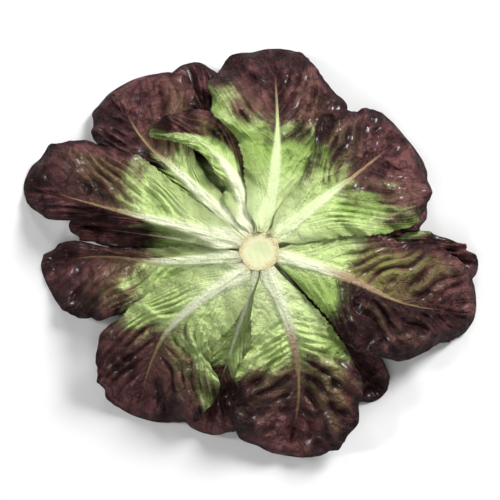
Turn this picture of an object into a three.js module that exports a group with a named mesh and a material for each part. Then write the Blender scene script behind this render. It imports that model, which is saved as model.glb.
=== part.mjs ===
// A head of red leaf lettuce that lies crown down with its cut stem up: a tapered stem, the outer leaves that
// spread round it with the backs of their blades up, and the inner leaves that close into a heart below them.
// Millimetres, +Z up. The origin is on the surface under the middle of the head.
import * as THREE from 'three';

const { clamp, degToRad, lerp, smoothstep } = THREE.MathUtils;

// Stem: radius, and depth below the cut face, down to the growing tip
const STEM_HEIGHT = 72;
const STEM_RADIUS = 12;
const STEM_PROFILE = [[11.4, 0], [12, 1.2], [11.6, 10], [10.4, 26], [9.4, 33], [7.9, 38], [5.2, 43], [0, 47]];
const STEM_SIDES = 30;
const STEM_LOBES = 5; // shallow flutes between the places where leaves were torn off
const STEM_FLUTE = 0.04; // their depth as a share of the radius

// Blades of the outer leaves
const BLADE_THICKNESS = 1.2; // measured upright, so that a steep stretch is still over 0.6 across
const BLADE_STEPS = 16; // cells along each half, and across it
const BLADE_COLUMNS = 4;
const STEM_GAP = 0.4; // between the stem and the foot of a leaf
const RIB_HEIGHT = [2.8, 0.5]; // above the blade, at the foot and at the tip
const RIB_HALF_WIDTH = [3.6, 1.3];
const PETIOLE_THICKNESS = 1.6; // more thickness under the rib at the foot
const RIB_SHARE = 0.88; // how far along the leaf the rib goes before its last veins spread
const VEIN_BOW = 0.1; // how far a vein bows towards the tip, as a share of its length
const TIP_SHOULDER = [0.94, 0.74]; // share of the rib, and half width there as a share of the last station's
const DOME_POWER = 1.25; // above 1 the leaf falls faster towards its tip
const CREASE_SHARE = 0.35; // share of a margin's fall that starts straight at the rib
const MARGIN_WAVES = 4.5;
const VEIN_PLEATS = 8; // side veins on each half, and the height of the ridges along them
const VEIN_PLEAT_HEIGHT = 0.6;
const RIGHT_WAVE_SHIFT = 0.4; // the right margin's waves against the left one's
const LEAF_WAVE_SHIFT = 0.37; // one leaf's waves against the next one's

// Laying the leaves over each other
const LAY_CELL = 1; // of the map of the height reached so far
const LAY_HALF_SIZE = 170;
const LAY_CLEARANCE = 0.6;
const LAY_EASE = 0.9; // how slowly a lift fades along the blade
const LAY_ROUNDS = 40;
const LAY_SAMPLES = 12; // along each side of a cell of the blade

// Outer leaves, from the lowest to the one on top. heading: degrees round the stem at the foot. rib: the rest
// of the midrib's plan. left, right: half widths at five even stations, seen from the stem. foot: half width
// at the stem. attach: depth of the foot below the cut. tip: height of the tip. arch: how far the rib bows
// up. drop: fall of the left and right margins. wave: height of the margins' waves.
const OUTER_LEAVES = [
  {
    name: 'leaf_under_top', heading: 104, rib: [[-23.5, 63], [-47, 113.5]],
    left: [8, 12, 16, 21, 20], right: [8, 12, 16, 20, 18],
    foot: 3, attach: 20, tip: 6, arch: 0, drop: [3, 4], wave: 1.2,
  },
  {
    name: 'leaf_under_left', heading: 172, rib: [[-65, 9.6], [-116, 16]],
    left: [6, 8, 9, 10, 9], right: [6, 8, 9, 9, 9],
    foot: 3, attach: 20, tip: 4, arch: 0, drop: [4, 3], wave: 1,
  },
  {
    name: 'leaf_under_lower_right', heading: -40, rib: [[42.5, -47], [75, -89]],
    left: [8, 10, 12, 14, 14], right: [8, 12, 16, 20, 20],
    foot: 3, attach: 20, tip: 5, arch: 0, drop: [3, 4], wave: 1.2,
  },
  {
    name: 'leaf_under_right', heading: 3, rib: [[72.6, 3], [133.8, -10]],
    left: [6, 8, 10, 13, 12], right: [8, 12, 16, 20, 20],
    foot: 3, attach: 19, tip: 9, arch: 2, drop: [3, 4], wave: 1.4,
  },
  {
    name: 'leaf_under_upper_right', heading: 20, rib: [[55.8, 18], [102, 27]],
    left: [7, 10, 13, 16, 15], right: [6, 9, 12, 14, 14],
    foot: 3, attach: 19, tip: 10, arch: 2, drop: [3, 3], wave: 1.2,
  },
  {
    name: 'leaf_under_bottom', heading: -100, rib: [[-15.6, -56], [-33.6, -111]],
    left: [8, 11, 14, 17, 21], right: [8, 11, 15, 20, 27],
    foot: 2.8, attach: 15, tip: 7, arch: 2, drop: [3, 5], wave: 1.6,
  },
  {
    name: 'leaf_upper_left', heading: 131, rib: [[-41, 40.2], [-68.4, 65.4], [-89, 98]],
    left: [8, 12, 13, 18, 25], right: [6, 9, 19, 38, 43],
    foot: 3.2, attach: 13, tip: 12, arch: 7, drop: [14, 6], wave: 2.8,
  },
  {
    name: 'leaf_left', heading: -164, rib: [[-56.4, -5.4], [-98.4, -3], [-133, -8.4]],
    left: [13, 22, 31, 38, 36], right: [5, 7, 6, 6, 11],
    foot: 3.4, attach: 11, tip: 8, arch: 5, drop: [8, 10], wave: 2.8,
  },
  {
    name: 'leaf_bottom', heading: -66, rib: [[18.6, -46.8], [24, -82.8], [18, -125]],
    left: [14, 23, 32, 38, 33], right: [17, 24, 36, 37, 40],
    foot: 4.4, attach: 10, tip: 7, arch: 10, drop: [9, 9], wave: 3,
  },
  {
    name: 'leaf_top_left', heading: 106, rib: [[-14.4, 43.2], [-36.6, 65.4], [-66, 69.6]],
    left: [8, 12, 16, 12, 7], right: [5, 6, 17, 20, 14],
    foot: 2.8, attach: 11, tip: 44, arch: 5, drop: [12, 7], wave: 2.8,
  },
  {
    name: 'leaf_right', heading: -14, rib: [[51.6, -15], [84.6, -30.6], [132, -38.4]],
    left: [17, 28, 33, 39, 34], right: [18, 28, 36, 35, 21],
    foot: 4.6, attach: 9, tip: 10, arch: 10, drop: [6, 19], wave: 2.8,
  },
  {
    name: 'leaf_top', heading: 78, rib: [[8.4, 40], [11, 73], [9, 123.6]],
    left: [9, 17, 26, 40, 38], right: [12, 24, 34, 40, 27],
    foot: 4, attach: 9, tip: 14, arch: 9, drop: [10, 9], wave: 2.8,
  },
  {
    name: 'leaf_upper_far_left', heading: 156, rib: [[-55.8, 16.2], [-99.6, 28.2], [-143.4, 40.8]],
    left: [5, 5, 8, 10, 16], right: [12, 23, 34, 35.5, 33.5],
    foot: 3.8, attach: 8, tip: 10, arch: 8, drop: [12, 8], wave: 2.8,
  },
  {
    name: 'leaf_lower_left', heading: -127, rib: [[-38.4, -31.8], [-57.6, -51.6], [-76.5, -100.5]],
    left: [15, 23, 32, 43, 42], right: [12, 21, 24, 34, 29],
    foot: 4.2, attach: 7, tip: 11, arch: 11, drop: [11, 13], wave: 2.8,
  },
  {
    name: 'leaf_upper_right', heading: 41, rib: [[36, 29.4], [61.8, 49.2], [88.5, 70.5]],
    left: [11, 16, 28, 39, 31], right: [14, 25, 37, 45, 42],
    foot: 4.2, attach: 8, tip: 17, arch: 10, drop: [7, 9], wave: 2.8,
  },
];

// Heart leaves: rings of bell-shaped leaves, each ring inside the one before it and turned against it.
// radius: of the bell. foot: distance from the stem axis and height where the leaves meet the stem. flare:
// reach of their tips as a share of the radius. tip: height of their tips, which are pressed flat on the
// surface in the outermost ring. width: half width of a leaf at its widest.
const HEART_RINGS = [
  { leaves: 4, turn: 25, radius: 64, foot: [11, 44], flare: 1.17, tip: -6, width: 43 },
  { leaves: 4, turn: 70, radius: 53, foot: [10.4, 39.5], flare: 1.08, tip: 3, width: 33 },
  { leaves: 3, turn: 40, radius: 42, foot: [9.2, 35], flare: 1.08, tip: 4, width: 38 },
  { leaves: 3, turn: 100, radius: 31, foot: [7.6, 31], flare: 1.08, tip: 4, width: 29 },
  { leaves: 2, turn: 60, radius: 20, foot: [5.3, 27.5], flare: 1.05, tip: 6, width: 22 },
];
const HEART_BELL = [[0.6, 0.95], [0.93, 0.56], [1, 0.22]]; // shares of the radius and of the height
const HEART_OUTLINE = [0.3, 0.62, 0.9, 1, 0.82]; // half widths at the five stations, as shares of the width
const HEART_FOOT_HALF_WIDTH = 3;
const HEART_THICKNESS = 0.9;
const HEART_RIB = [1.6, 0.4]; // height at the foot and at the tip
const HEART_WAVE = 2.2; // in and out, at the margins
const HEART_WAVES = 3;
const HEART_STEPS = 10;
const HEART_COLUMNS = 3;

const STEM_FLESH = { color: 0xdcd8a4, roughness: 0.6, metalness: 0 };
const OUTER_BLADE = { color: 0x6b5a3c, roughness: 0.42, metalness: 0 };
const HEART_BLADE = { color: 0x8fae4e, roughness: 0.5, metalness: 0 };

// The plan of one blade. Its place at share u along and v across (-1 left margin, 0 rib, 1 right margin)
// follows the veins, which leave the rib behind the point of the margin that they reach.
class BladePlan {
  constructor(ribPoints, footSide, left, right) {
    this.rib = new THREE.CatmullRomCurve3(ribPoints);
    const margin = (halfWidths, sign) => {
      const stations = halfWidths.map((width, k) => [k / halfWidths.length, width]);
      stations.push([TIP_SHOULDER[0], TIP_SHOULDER[1] * halfWidths.at(-1)]);
      return stations.map(([share, width]) => {
        const along = this.rib.getTangentAt(share);
        const side = share === 0 ? footSide : new THREE.Vector3(-along.y, along.x, 0);
        return this.rib.getPointAt(share).addScaledVector(side, sign * width);
      });
    };
    const outline = [...margin(left, 1), this.rib.getPointAt(1), ...margin(right, -1).reverse()];
    this.outline = new THREE.CatmullRomCurve3(outline);
  }

  vein(u, v) {
    const foot = this.rib.getPointAt(u * RIB_SHARE);
    const reach = this.outline.getPoint(v < 0 ? u / 2 : 1 - u / 2).sub(foot);
    return { foot, reach };
  }

  halfWidth(u, v) {
    return this.vein(u, v).reach.length();
  }

  place(u, v) {
    const { foot, reach } = this.vein(u, v);
    const share = Math.abs(v);
    const bow = 4 * VEIN_BOW * u * (1 - u) * share * (1 - share) * reach.length();
    return foot.addScaledVector(reach, share).addScaledVector(this.rib.getTangentAt(u), bow);
  }
}

// The points of one blade, in rows from its foot to its tip, each from its left margin to its right
class BladeGrid {
  constructor(steps, columns, pointAt) {
    this.steps = steps;
    this.columns = columns;
    this.across = 2 * columns + 1;
    this.points = [];
    for (let i = 0; i <= steps; i += 1) {
      for (let j = -columns; j <= columns; j += 1) this.points.push(pointAt(i / steps, j));
    }
  }

  at(i, j) {
    return this.points[clamp(i, 0, this.steps) * this.across + clamp(j, 0, this.across - 1)];
  }

  // The four corners of every cell
  cells() {
    const cells = [];
    for (let i = 0; i < this.steps; i += 1) {
      for (let j = 0; j < this.across - 1; j += 1) {
        cells.push([this.at(i, j), this.at(i, j + 1), this.at(i + 1, j), this.at(i + 1, j + 1)]);
      }
    }
    return cells;
  }

  // A closed blade between each point's upper and lower place. The last row is the vein that runs to the tip.
  // Both halves share it, so its left points are its right points.
  geometry() {
    const { steps, columns, across } = this;
    const upper = (i, j) => i * across + (i === steps ? columns + Math.abs(j - columns) : j);
    const lower = (i, j) => this.points.length + upper(i, j);
    const triangles = [];
    const quad = (a, b, c, d) => {
      for (const triangle of [[a, b, c], [a, c, d]]) {
        if (new Set(triangle).size === 3) triangles.push(...triangle);
      }
    };
    const last = across - 1;
    for (let i = 0; i < steps; i += 1) {
      for (let j = 0; j < last; j += 1) {
        quad(upper(i, j), upper(i, j + 1), upper(i + 1, j + 1), upper(i + 1, j));
        quad(lower(i, j), lower(i + 1, j), lower(i + 1, j + 1), lower(i, j + 1));
      }
      quad(upper(i, 0), upper(i + 1, 0), lower(i + 1, 0), lower(i, 0));
      quad(upper(i + 1, last), upper(i, last), lower(i, last), lower(i + 1, last));
    }
    for (let j = 0; j < last; j += 1) quad(upper(0, j + 1), upper(0, j), lower(0, j), lower(0, j + 1));
    const places = [...this.points.map((point) => point.upper), ...this.points.map((point) => point.lower)];
    return new THREE.BufferGeometry().setFromPoints(places).setIndex(triangles);
  }
}

// The height reached so far over the plan, first by the heart and then by each leaf laid on it
class LayMap {
  constructor() {
    this.size = Math.round((2 * LAY_HALF_SIZE) / LAY_CELL);
    this.heights = new Float64Array(this.size * this.size);
  }

  cell(value) {
    return clamp(Math.floor((value + LAY_HALF_SIZE) / LAY_CELL), 0, this.size - 1);
  }

  raise({ x, y, z }) {
    const at = this.cell(y) * this.size + this.cell(x);
    this.heights[at] = Math.max(this.heights[at], z);
  }

  highestNear({ x, y }) {
    let highest = 0;
    for (let row = this.cell(y - LAY_CELL); row <= this.cell(y + LAY_CELL); row += 1) {
      for (let column = this.cell(x - LAY_CELL); column <= this.cell(x + LAY_CELL); column += 1) {
        highest = Math.max(highest, this.heights[row * this.size + column]);
      }
    }
    return highest;
  }

  // Adds the upper face of a leaf to the map
  cover(grid) {
    for (const cell of grid.cells()) {
      overCell(cell.map((corner) => corner.upper), (sample) => this.raise(sample));
    }
  }

  // Lifts a leaf until it clears everything on the map
  lift(grid) {
    // How far each corner has to rise for the cells round it to clear what lies below
    for (const cell of grid.cells()) {
      overCell(cell.map((corner) => corner.place), (sample) => {
        const need = this.highestNear(sample) + LAY_CLEARANCE - sample.z;
        for (const corner of cell) corner.need = Math.max(corner.need, need);
      });
    }
    for (let j = 0; j < grid.columns; j += 1) {
      const pair = [grid.at(grid.steps, j), grid.at(grid.steps, grid.across - 1 - j)];
      const need = Math.max(...pair.map((point) => point.need));
      for (const point of pair) point.need = need;
    }
    // A lift fades along the blade instead of ending in a step
    for (let round = 0; round < LAY_ROUNDS; round += 1) {
      for (let i = 0; i <= grid.steps; i += 1) {
        for (let j = 0; j < grid.across; j += 1) {
          const around = [grid.at(i - 1, j), grid.at(i + 1, j), grid.at(i, j - 1), grid.at(i, j + 1)];
          const mean = around.reduce((sum, point) => sum + point.lift, 0) / around.length;
          grid.at(i, j).lift = Math.max(grid.at(i, j).need, LAY_EASE * mean);
        }
      }
    }
    for (const point of grid.points) {
      point.lower = point.place.clone().setZ(point.place.z + point.lift);
      point.upper = point.lower.clone().setZ(point.lower.z + point.thickness + point.ridge);
    }
  }
}

// Even samples over the cell between four corners
function overCell(corners, visit) {
  for (let p = 0; p <= LAY_SAMPLES; p += 1) {
    for (let q = 0; q <= LAY_SAMPLES; q += 1) {
      const near = corners[0].clone().lerp(corners[1], q / LAY_SAMPLES);
      const far = corners[2].clone().lerp(corners[3], q / LAY_SAMPLES);
      visit(near.lerp(far, p / LAY_SAMPLES));
    }
  }
}

// Height of an outer leaf's upper face before it is laid on the leaves below
function hangingHeight(leaf, order, u, v) {
  const foot = STEM_HEIGHT - leaf.attach;
  const along = foot + (leaf.tip - foot) * u ** DOME_POWER + leaf.arch * Math.sin(Math.PI * u);
  const side = Math.abs(v);
  const nearTip = smoothstep(u, 0.7, 1);
  const middle = (leaf.drop[0] + leaf.drop[1]) / 2;
  const fall = lerp(leaf.drop[v < 0 ? 0 : 1], middle, nearTip) * lerp(0.12, 1, smoothstep(u, 0, 0.5));
  const crease = CREASE_SHARE * (1 - smoothstep(u, 0.5, 1));
  const shift = order * LEAF_WAVE_SHIFT + (v < 0 ? 0 : RIGHT_WAVE_SHIFT * (1 - nearTip));
  const wave = leaf.wave * Math.min(1, 2 * u) * Math.sin(2 * Math.PI * (MARGIN_WAVES * u + shift));
  const pleat = VEIN_PLEAT_HEIGHT * Math.cos(2 * Math.PI * VEIN_PLEATS * u) * 4 * side * (1 - side);
  return along - fall * lerp(side ** 2, side, crease) + wave * side ** 2 + pleat;
}

function outerLeaf(leaf, order, map) {
  const heading = degToRad(leaf.heading);
  const outward = new THREE.Vector3(Math.cos(heading), Math.sin(heading), 0);
  const foot = outward.multiplyScalar(STEM_RADIUS + STEM_GAP);
  const footSide = new THREE.Vector3(-Math.sin(heading), Math.cos(heading), 0);
  const rib = [foot, ...leaf.rib.map(([x, y]) => new THREE.Vector3(x, y, 0))];
  const plan = new BladePlan(rib, footSide, [leaf.foot, ...leaf.left], [leaf.foot, ...leaf.right]);
  const grid = new BladeGrid(BLADE_STEPS, BLADE_COLUMNS, (u, column) => {
    const ribHalfWidth = lerp(...RIB_HALF_WIDTH, u);
    const halfWidth = plan.halfWidth(u, column);
    // One column at the rib's edge, and the others even from there to the margin
    const edge = Math.min(0.5, ribHalfWidth / halfWidth);
    const share = column === 0 ? 0 : lerp(edge, 1, (Math.abs(column) - 1) / (BLADE_COLUMNS - 1));
    const v = Math.sign(column) * share;
    const nearRib = Math.exp(-(((v * halfWidth) / ribHalfWidth) ** 2));
    const thickness = BLADE_THICKNESS + PETIOLE_THICKNESS * nearRib * (1 - u) ** 2;
    const place = plan.place(u, v).setZ(hangingHeight(leaf, order, u, v) - thickness);
    return { place, thickness, ridge: lerp(...RIB_HEIGHT, u) * nearRib, need: 0, lift: 0 };
  });
  map.lift(grid);
  map.cover(grid);
  const mesh = new THREE.Mesh(grid.geometry(), new THREE.MeshStandardMaterial(OUTER_BLADE));
  mesh.name = leaf.name;
  return mesh;
}

// A heart leaf hangs on a bell round the stem's tip, with its foot at the stem and its tip at the crown.
function heartLeaf(ring, level, order, map) {
  const [footRadius, footHeight] = ring.foot;
  const bell = new THREE.SplineCurve([
    new THREE.Vector2(footRadius, footHeight),
    ...[...HEART_BELL, [ring.flare, 0]].map(
      ([radius, height]) => new THREE.Vector2(radius * ring.radius, lerp(ring.tip, footHeight, height)),
    ),
  ]);
  const length = bell.getLength();
  const rib = [0, length / 2, length].map((x) => new THREE.Vector3(x, 0, 0));
  const halfWidths = [HEART_FOOT_HALF_WIDTH, ...HEART_OUTLINE.map((share) => share * ring.width)];
  const plan = new BladePlan(rib, new THREE.Vector3(0, 1, 0), halfWidths, halfWidths);
  const heading = degToRad(ring.turn) + (2 * Math.PI * order) / ring.leaves;
  const grid = new BladeGrid(HEART_STEPS, HEART_COLUMNS, (u, column) => {
    const v = column / HEART_COLUMNS;
    const flat = plan.place(u, v);
    const share = clamp(flat.x / length, 0, 1);
    const onBell = bell.getPointAt(share);
    const along = bell.getTangentAt(share);
    const turn = heading + flat.y / onBell.x;
    const wave = HEART_WAVE * u * v ** 2 * Math.sin(2 * Math.PI * HEART_WAVES * u + order + level);
    const ridge = column === 0 ? lerp(...HEART_RIB, u) : 0;
    const raised = (height) => {
      const out = onBell.x - along.y * height;
      const z = Math.max(onBell.y + along.x * height, height - wave);
      return new THREE.Vector3(out * Math.cos(turn), out * Math.sin(turn), z);
    };
    return { upper: raised(wave + HEART_THICKNESS + ridge), lower: raised(wave) };
  });
  map.cover(grid);
  const mesh = new THREE.Mesh(grid.geometry(), new THREE.MeshStandardMaterial(HEART_BLADE));
  mesh.name = `leaf_heart_${level + 1}_${order + 1}`;
  return mesh;
}

function stem() {
  const profile = [[0, 0], ...STEM_PROFILE]
    .map(([radius, depth]) => new THREE.Vector2(radius, STEM_HEIGHT - depth))
    .reverse();
  const geometry = new THREE.LatheGeometry(profile, STEM_SIDES).rotateX(Math.PI / 2);
  const places = geometry.getAttribute('position');
  for (let k = 0; k < places.count; k += 1) {
    const turn = Math.atan2(places.getY(k), places.getX(k));
    const share = 1 - (STEM_FLUTE * (1 + Math.cos(STEM_LOBES * turn))) / 2;
    places.setXY(k, places.getX(k) * share, places.getY(k) * share);
  }
  const mesh = new THREE.Mesh(geometry, new THREE.MeshStandardMaterial(STEM_FLESH));
  mesh.name = 'stem';
  return mesh;
}

const head = new THREE.Group();
head.add(stem());
const map = new LayMap();
HEART_RINGS.forEach((ring, level) => {
  for (let order = 0; order < ring.leaves; order += 1) head.add(heartLeaf(ring, level, order, map));
});
OUTER_LEAVES.forEach((leaf, order) => head.add(outerLeaf(leaf, order, map)));

const middle = new THREE.Box3().setFromObject(head).getCenter(new THREE.Vector3());
head.position.set(-middle.x, -middle.y, 0);
const lettuce = new THREE.Group();
lettuce.add(head);
export default lettuce;
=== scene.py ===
"""A head of red leaf lettuce that lies crown down with its cut stem up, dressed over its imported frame.

Each leaf keeps the form of its node in the frame: the plan of its midrib and margin, and the heights of the
node's blade. On that form it gets a finer blade with pillows, pleats, a curled rim and raised veins.
Sizes are in millimetres, and meshes are turned into metres when they are made.
"""

import logging
import math
from dataclasses import dataclass, field
from enum import Enum

import bpy
import numpy as np
from bpy.types import Material, Mesh, Node, NodeSocket, NodeTree, Object
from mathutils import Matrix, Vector


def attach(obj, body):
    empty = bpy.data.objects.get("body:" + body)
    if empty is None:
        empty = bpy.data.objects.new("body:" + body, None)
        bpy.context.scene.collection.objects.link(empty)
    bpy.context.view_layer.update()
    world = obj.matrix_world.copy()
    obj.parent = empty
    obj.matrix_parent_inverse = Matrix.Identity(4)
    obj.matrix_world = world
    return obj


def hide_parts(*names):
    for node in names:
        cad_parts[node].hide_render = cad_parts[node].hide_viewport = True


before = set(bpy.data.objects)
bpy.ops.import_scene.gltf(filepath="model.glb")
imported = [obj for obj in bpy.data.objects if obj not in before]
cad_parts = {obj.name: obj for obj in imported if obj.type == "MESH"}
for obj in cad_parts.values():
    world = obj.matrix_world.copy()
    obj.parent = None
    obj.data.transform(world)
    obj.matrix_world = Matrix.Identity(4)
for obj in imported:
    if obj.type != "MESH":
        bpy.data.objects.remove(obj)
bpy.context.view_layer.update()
BODY = "root"
MM = 0.001
LOG = logging.getLogger("lettuce")
FLOAT, INT, COLOR, VECTOR = "NodeSocketFloat", "NodeSocketInt", "NodeSocketColor", "NodeSocketVector"
MATERIAL, GEOMETRY = "NodeSocketMaterial", "NodeSocketGeometry"
RGB = tuple[float, float, float]
Limits = tuple[float, float, float, float]


class Slot(Enum):
    """The record's material slots."""

    OUTER = "outer_leaf"
    HEART = "heart_leaf"
    STEM = "stem"


class Rank(Enum):
    """How much of a leaf shows: cells along and across each half of its blade, and side veins a half."""

    SHOWN = (176, 42, 9)
    UNDER = (96, 22, 9)
    HEART = (60, 17, 8)

    def __init__(self, rows: int, columns: int, veins: int) -> None:
        """Takes cells from foot to tip, cells from the rib to a margin, and side veins on each half."""
        self.rows, self.columns, self.veins = rows, columns, veins


class Through(Enum):
    """How a curve's knots are spaced."""

    CENTRIPETAL = "centripetal"
    UNIFORM = "uniform"


class Ray(Enum):
    """Kinds of rays that a light can be hidden from."""

    DIFFUSE = "visible_diffuse"
    GLOSSY = "visible_glossy"


def smoothstep(low: float, high: float, values: np.ndarray) -> np.ndarray:
    """Eases values from 0 at low to 1 at high."""
    share = np.clip((values - low) / (high - low), 0.0, 1.0)
    return share * share * (3.0 - 2.0 * share)


def window(limits: Limits, values: np.ndarray) -> np.ndarray:
    """Eases values from 0 to 1 between the first two limits, and back to 0 between the last two."""
    start, full, fade, end = limits
    return smoothstep(start, full, values) * (1 - smoothstep(fade, end, values))


def lerp(start: float, end: float, share: np.ndarray) -> np.ndarray:
    """Goes from start to end with share."""
    return start + (end - start) * share


def hump(values: np.ndarray, width: float) -> np.ndarray:
    """Falls smoothly from 1 at 0 to about a third at the width."""
    return np.exp(-((values / width) ** 2))


def hermite(
    first: np.ndarray, last: np.ndarray, start: np.ndarray, end: np.ndarray, t: np.ndarray
) -> np.ndarray:
    """Cubic from first to last, with slopes start and end there, at shares t of the way."""
    rise = last - first
    return first + start * t + (3 * rise - 2 * start - end) * t**2 + (start + end - 2 * rise) * t**3


def between_knots(knots: np.ndarray, values: np.ndarray, at: np.ndarray) -> np.ndarray:
    """Cubic curve through values at uneven knots.

    Args:
        knots: Rising places, one for each row of values.
        values: Rows of numbers.
        at: Places to read.

    Returns:
        One row for each place.
    """
    slopes = np.gradient(values, knots, axis=0)
    cell = np.clip(np.searchsorted(knots, at, side="right") - 1, 0, len(knots) - 2)
    step = (knots[cell + 1] - knots[cell])[:, None]
    t = (at - knots[cell])[:, None] / step
    return hermite(values[cell], values[cell + 1], slopes[cell] * step, slopes[cell + 1] * step, t)


def ripple(x: np.ndarray, y: np.ndarray, length: float, seed: int, waves: int = 10) -> np.ndarray:
    """Smooth noise made of crossing waves.

    Args:
        x: First coordinate.
        y: Second coordinate.
        length: Mean wavelength, in the coordinates' unit.
        seed: Fixes the waves.
        waves: How many waves are added.

    Returns:
        Values of about -1 to 1, in the shape of x.
    """
    rng = np.random.default_rng(seed)
    total = np.zeros_like(x)
    spans = ((0.0, math.tau), (0.7, 1.5), (0.0, math.tau))
    for turn, stretch, phase in zip(*[rng.uniform(*span, waves) for span in spans]):
        step = math.tau / (length * stretch)
        total += np.sin(step * (x * math.cos(turn) + y * math.sin(turn)) + phase)
    return total / math.sqrt(waves)


def normals(points: np.ndarray) -> np.ndarray:
    """Upward unit normals of a grid of points."""
    out = np.cross(np.gradient(points, axis=1), np.gradient(points, axis=0))
    return out / np.maximum(np.linalg.norm(out, axis=-1, keepdims=True), 1e-9)


def close_tip(face: np.ndarray) -> None:
    """Gives both halves of a face's last row the same points."""
    columns = face.shape[1] // 2
    face[-1, :columns] = face[-1, :columns:-1]


def linked(name: str, data: bpy.types.ID) -> Object:
    """Makes an object at the origin and puts it in the scene.

    Args:
        name: Its name.
        data: Its mesh, light or camera.

    Returns:
        The object.
    """
    made = bpy.data.objects.new(name, data)
    bpy.context.scene.collection.objects.link(made)
    return made


def add_layers(mesh: Mesh, layers: dict[str, np.ndarray]) -> None:
    """Gives a mesh a float attribute for each layer.

    Args:
        mesh: The mesh.
        layers: A value for each point, by name.
    """
    for name, values in layers.items():
        attribute = mesh.attributes.new(name, "FLOAT", "POINT")
        attribute.data.foreach_set("value", values.astype(np.float32))


def smooth_piece(
    name: str, points: np.ndarray, faces: list, layers: dict[str, np.ndarray], material: Material
) -> Object:
    """Makes a smooth object with one finish.

    Args:
        name: Its name.
        points: Its points, in millimetres.
        faces: Point numbers of each face.
        layers: Float attributes, by name.
        material: Its finish.

    Returns:
        The object, at the origin.
    """
    mesh = bpy.data.meshes.new(name)
    mesh.from_pydata(points * MM, [], faces)
    add_layers(mesh, layers)
    mesh.polygons.foreach_set("use_smooth", np.ones(len(mesh.polygons), bool))
    mesh.materials.append(material)
    mesh.validate()
    mesh.update()
    return linked(name, mesh)


def frame_points(node: str) -> np.ndarray:
    """Reads the points of a frame node.

    Args:
        node: Its name.

    Returns:
        The points, in millimetres.
    """
    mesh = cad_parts[node].data
    places = np.empty(len(mesh.vertices) * 3, np.float32)
    mesh.vertices.foreach_get("co", places)
    return np.unique(np.round(places.reshape(-1, 3).astype(float) / MM, 4), axis=0)


class Curve:
    """A smooth open curve through points, read by its own parameter or by length."""

    DIVISIONS = 200
    SMALL = 1e-4

    def __init__(self, points: np.ndarray, through: Through = Through.CENTRIPETAL) -> None:
        """Measures the curve.

        Args:
            points: Points in order, a row each.
            through: Spacing of the knots.
        """
        self.points = np.asarray(points, float)
        self.through = through
        self.steps = np.linspace(0.0, 1.0, self.DIVISIONS + 1)
        lengths = np.linalg.norm(np.diff(self.at(self.steps), axis=0), axis=1)
        self.reached = np.concatenate([[0.0], np.cumsum(lengths)])
        self.length = float(self.reached[-1])

    def at(self, t: np.ndarray) -> np.ndarray:
        """Reads points by parameter.

        Args:
            t: Parameters, which count the given points evenly from 0 to 1.

        Returns:
            A point for each.
        """
        last = len(self.points) - 1
        even = self.through is Through.UNIFORM
        before = self.points[0] if even else 2 * self.points[0] - self.points[1]
        after = self.points[-1] if even else 2 * self.points[-1] - self.points[-2]
        knots = np.vstack([before, self.points, after])
        place = np.clip(np.asarray(t, float), 0.0, 1.0) * last
        cell = np.minimum(np.floor(place).astype(int), last - 1)
        p0, p1, p2, p3 = (knots[cell + k] for k in range(4))
        d0, d1, d2 = (self._spacing(a, b) for a, b in ((p0, p1), (p1, p2), (p2, p3)))
        start = ((p1 - p0) / d0 - (p2 - p0) / (d0 + d1) + (p2 - p1) / d1) * d1
        end = ((p2 - p1) / d1 - (p3 - p1) / (d1 + d2) + (p3 - p2) / d2) * d1
        return hermite(p1, p2, start, end, (place - cell)[:, None])

    def _spacing(self, a: np.ndarray, b: np.ndarray) -> np.ndarray:
        """Measures the knot distance between neighbouring points.

        Args:
            a: Points.
            b: Their neighbours.

        Returns:
            A distance for each pair.
        """
        if self.through is Through.UNIFORM:
            return np.ones((len(a), 1))
        return np.maximum(np.sum((a - b) ** 2, axis=1) ** 0.25, self.SMALL)[:, None]

    def _parameter(self, share: np.ndarray) -> np.ndarray:
        """Parameter at a share of the length."""
        return np.interp(np.asarray(share, float) * self.length, self.reached, self.steps)

    def along(self, share: np.ndarray) -> np.ndarray:
        """Points at shares of the length."""
        return self.at(self._parameter(share))

    def heading(self, share: np.ndarray) -> np.ndarray:
        """Reads directions by length.

        Args:
            share: Shares of the length.

        Returns:
            A unit direction for each.
        """
        t = self._parameter(share)
        step = self.at(np.minimum(t + self.SMALL, 1.0)) - self.at(np.maximum(t - self.SMALL, 0.0))
        return step / np.linalg.norm(step, axis=1, keepdims=True)


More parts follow.
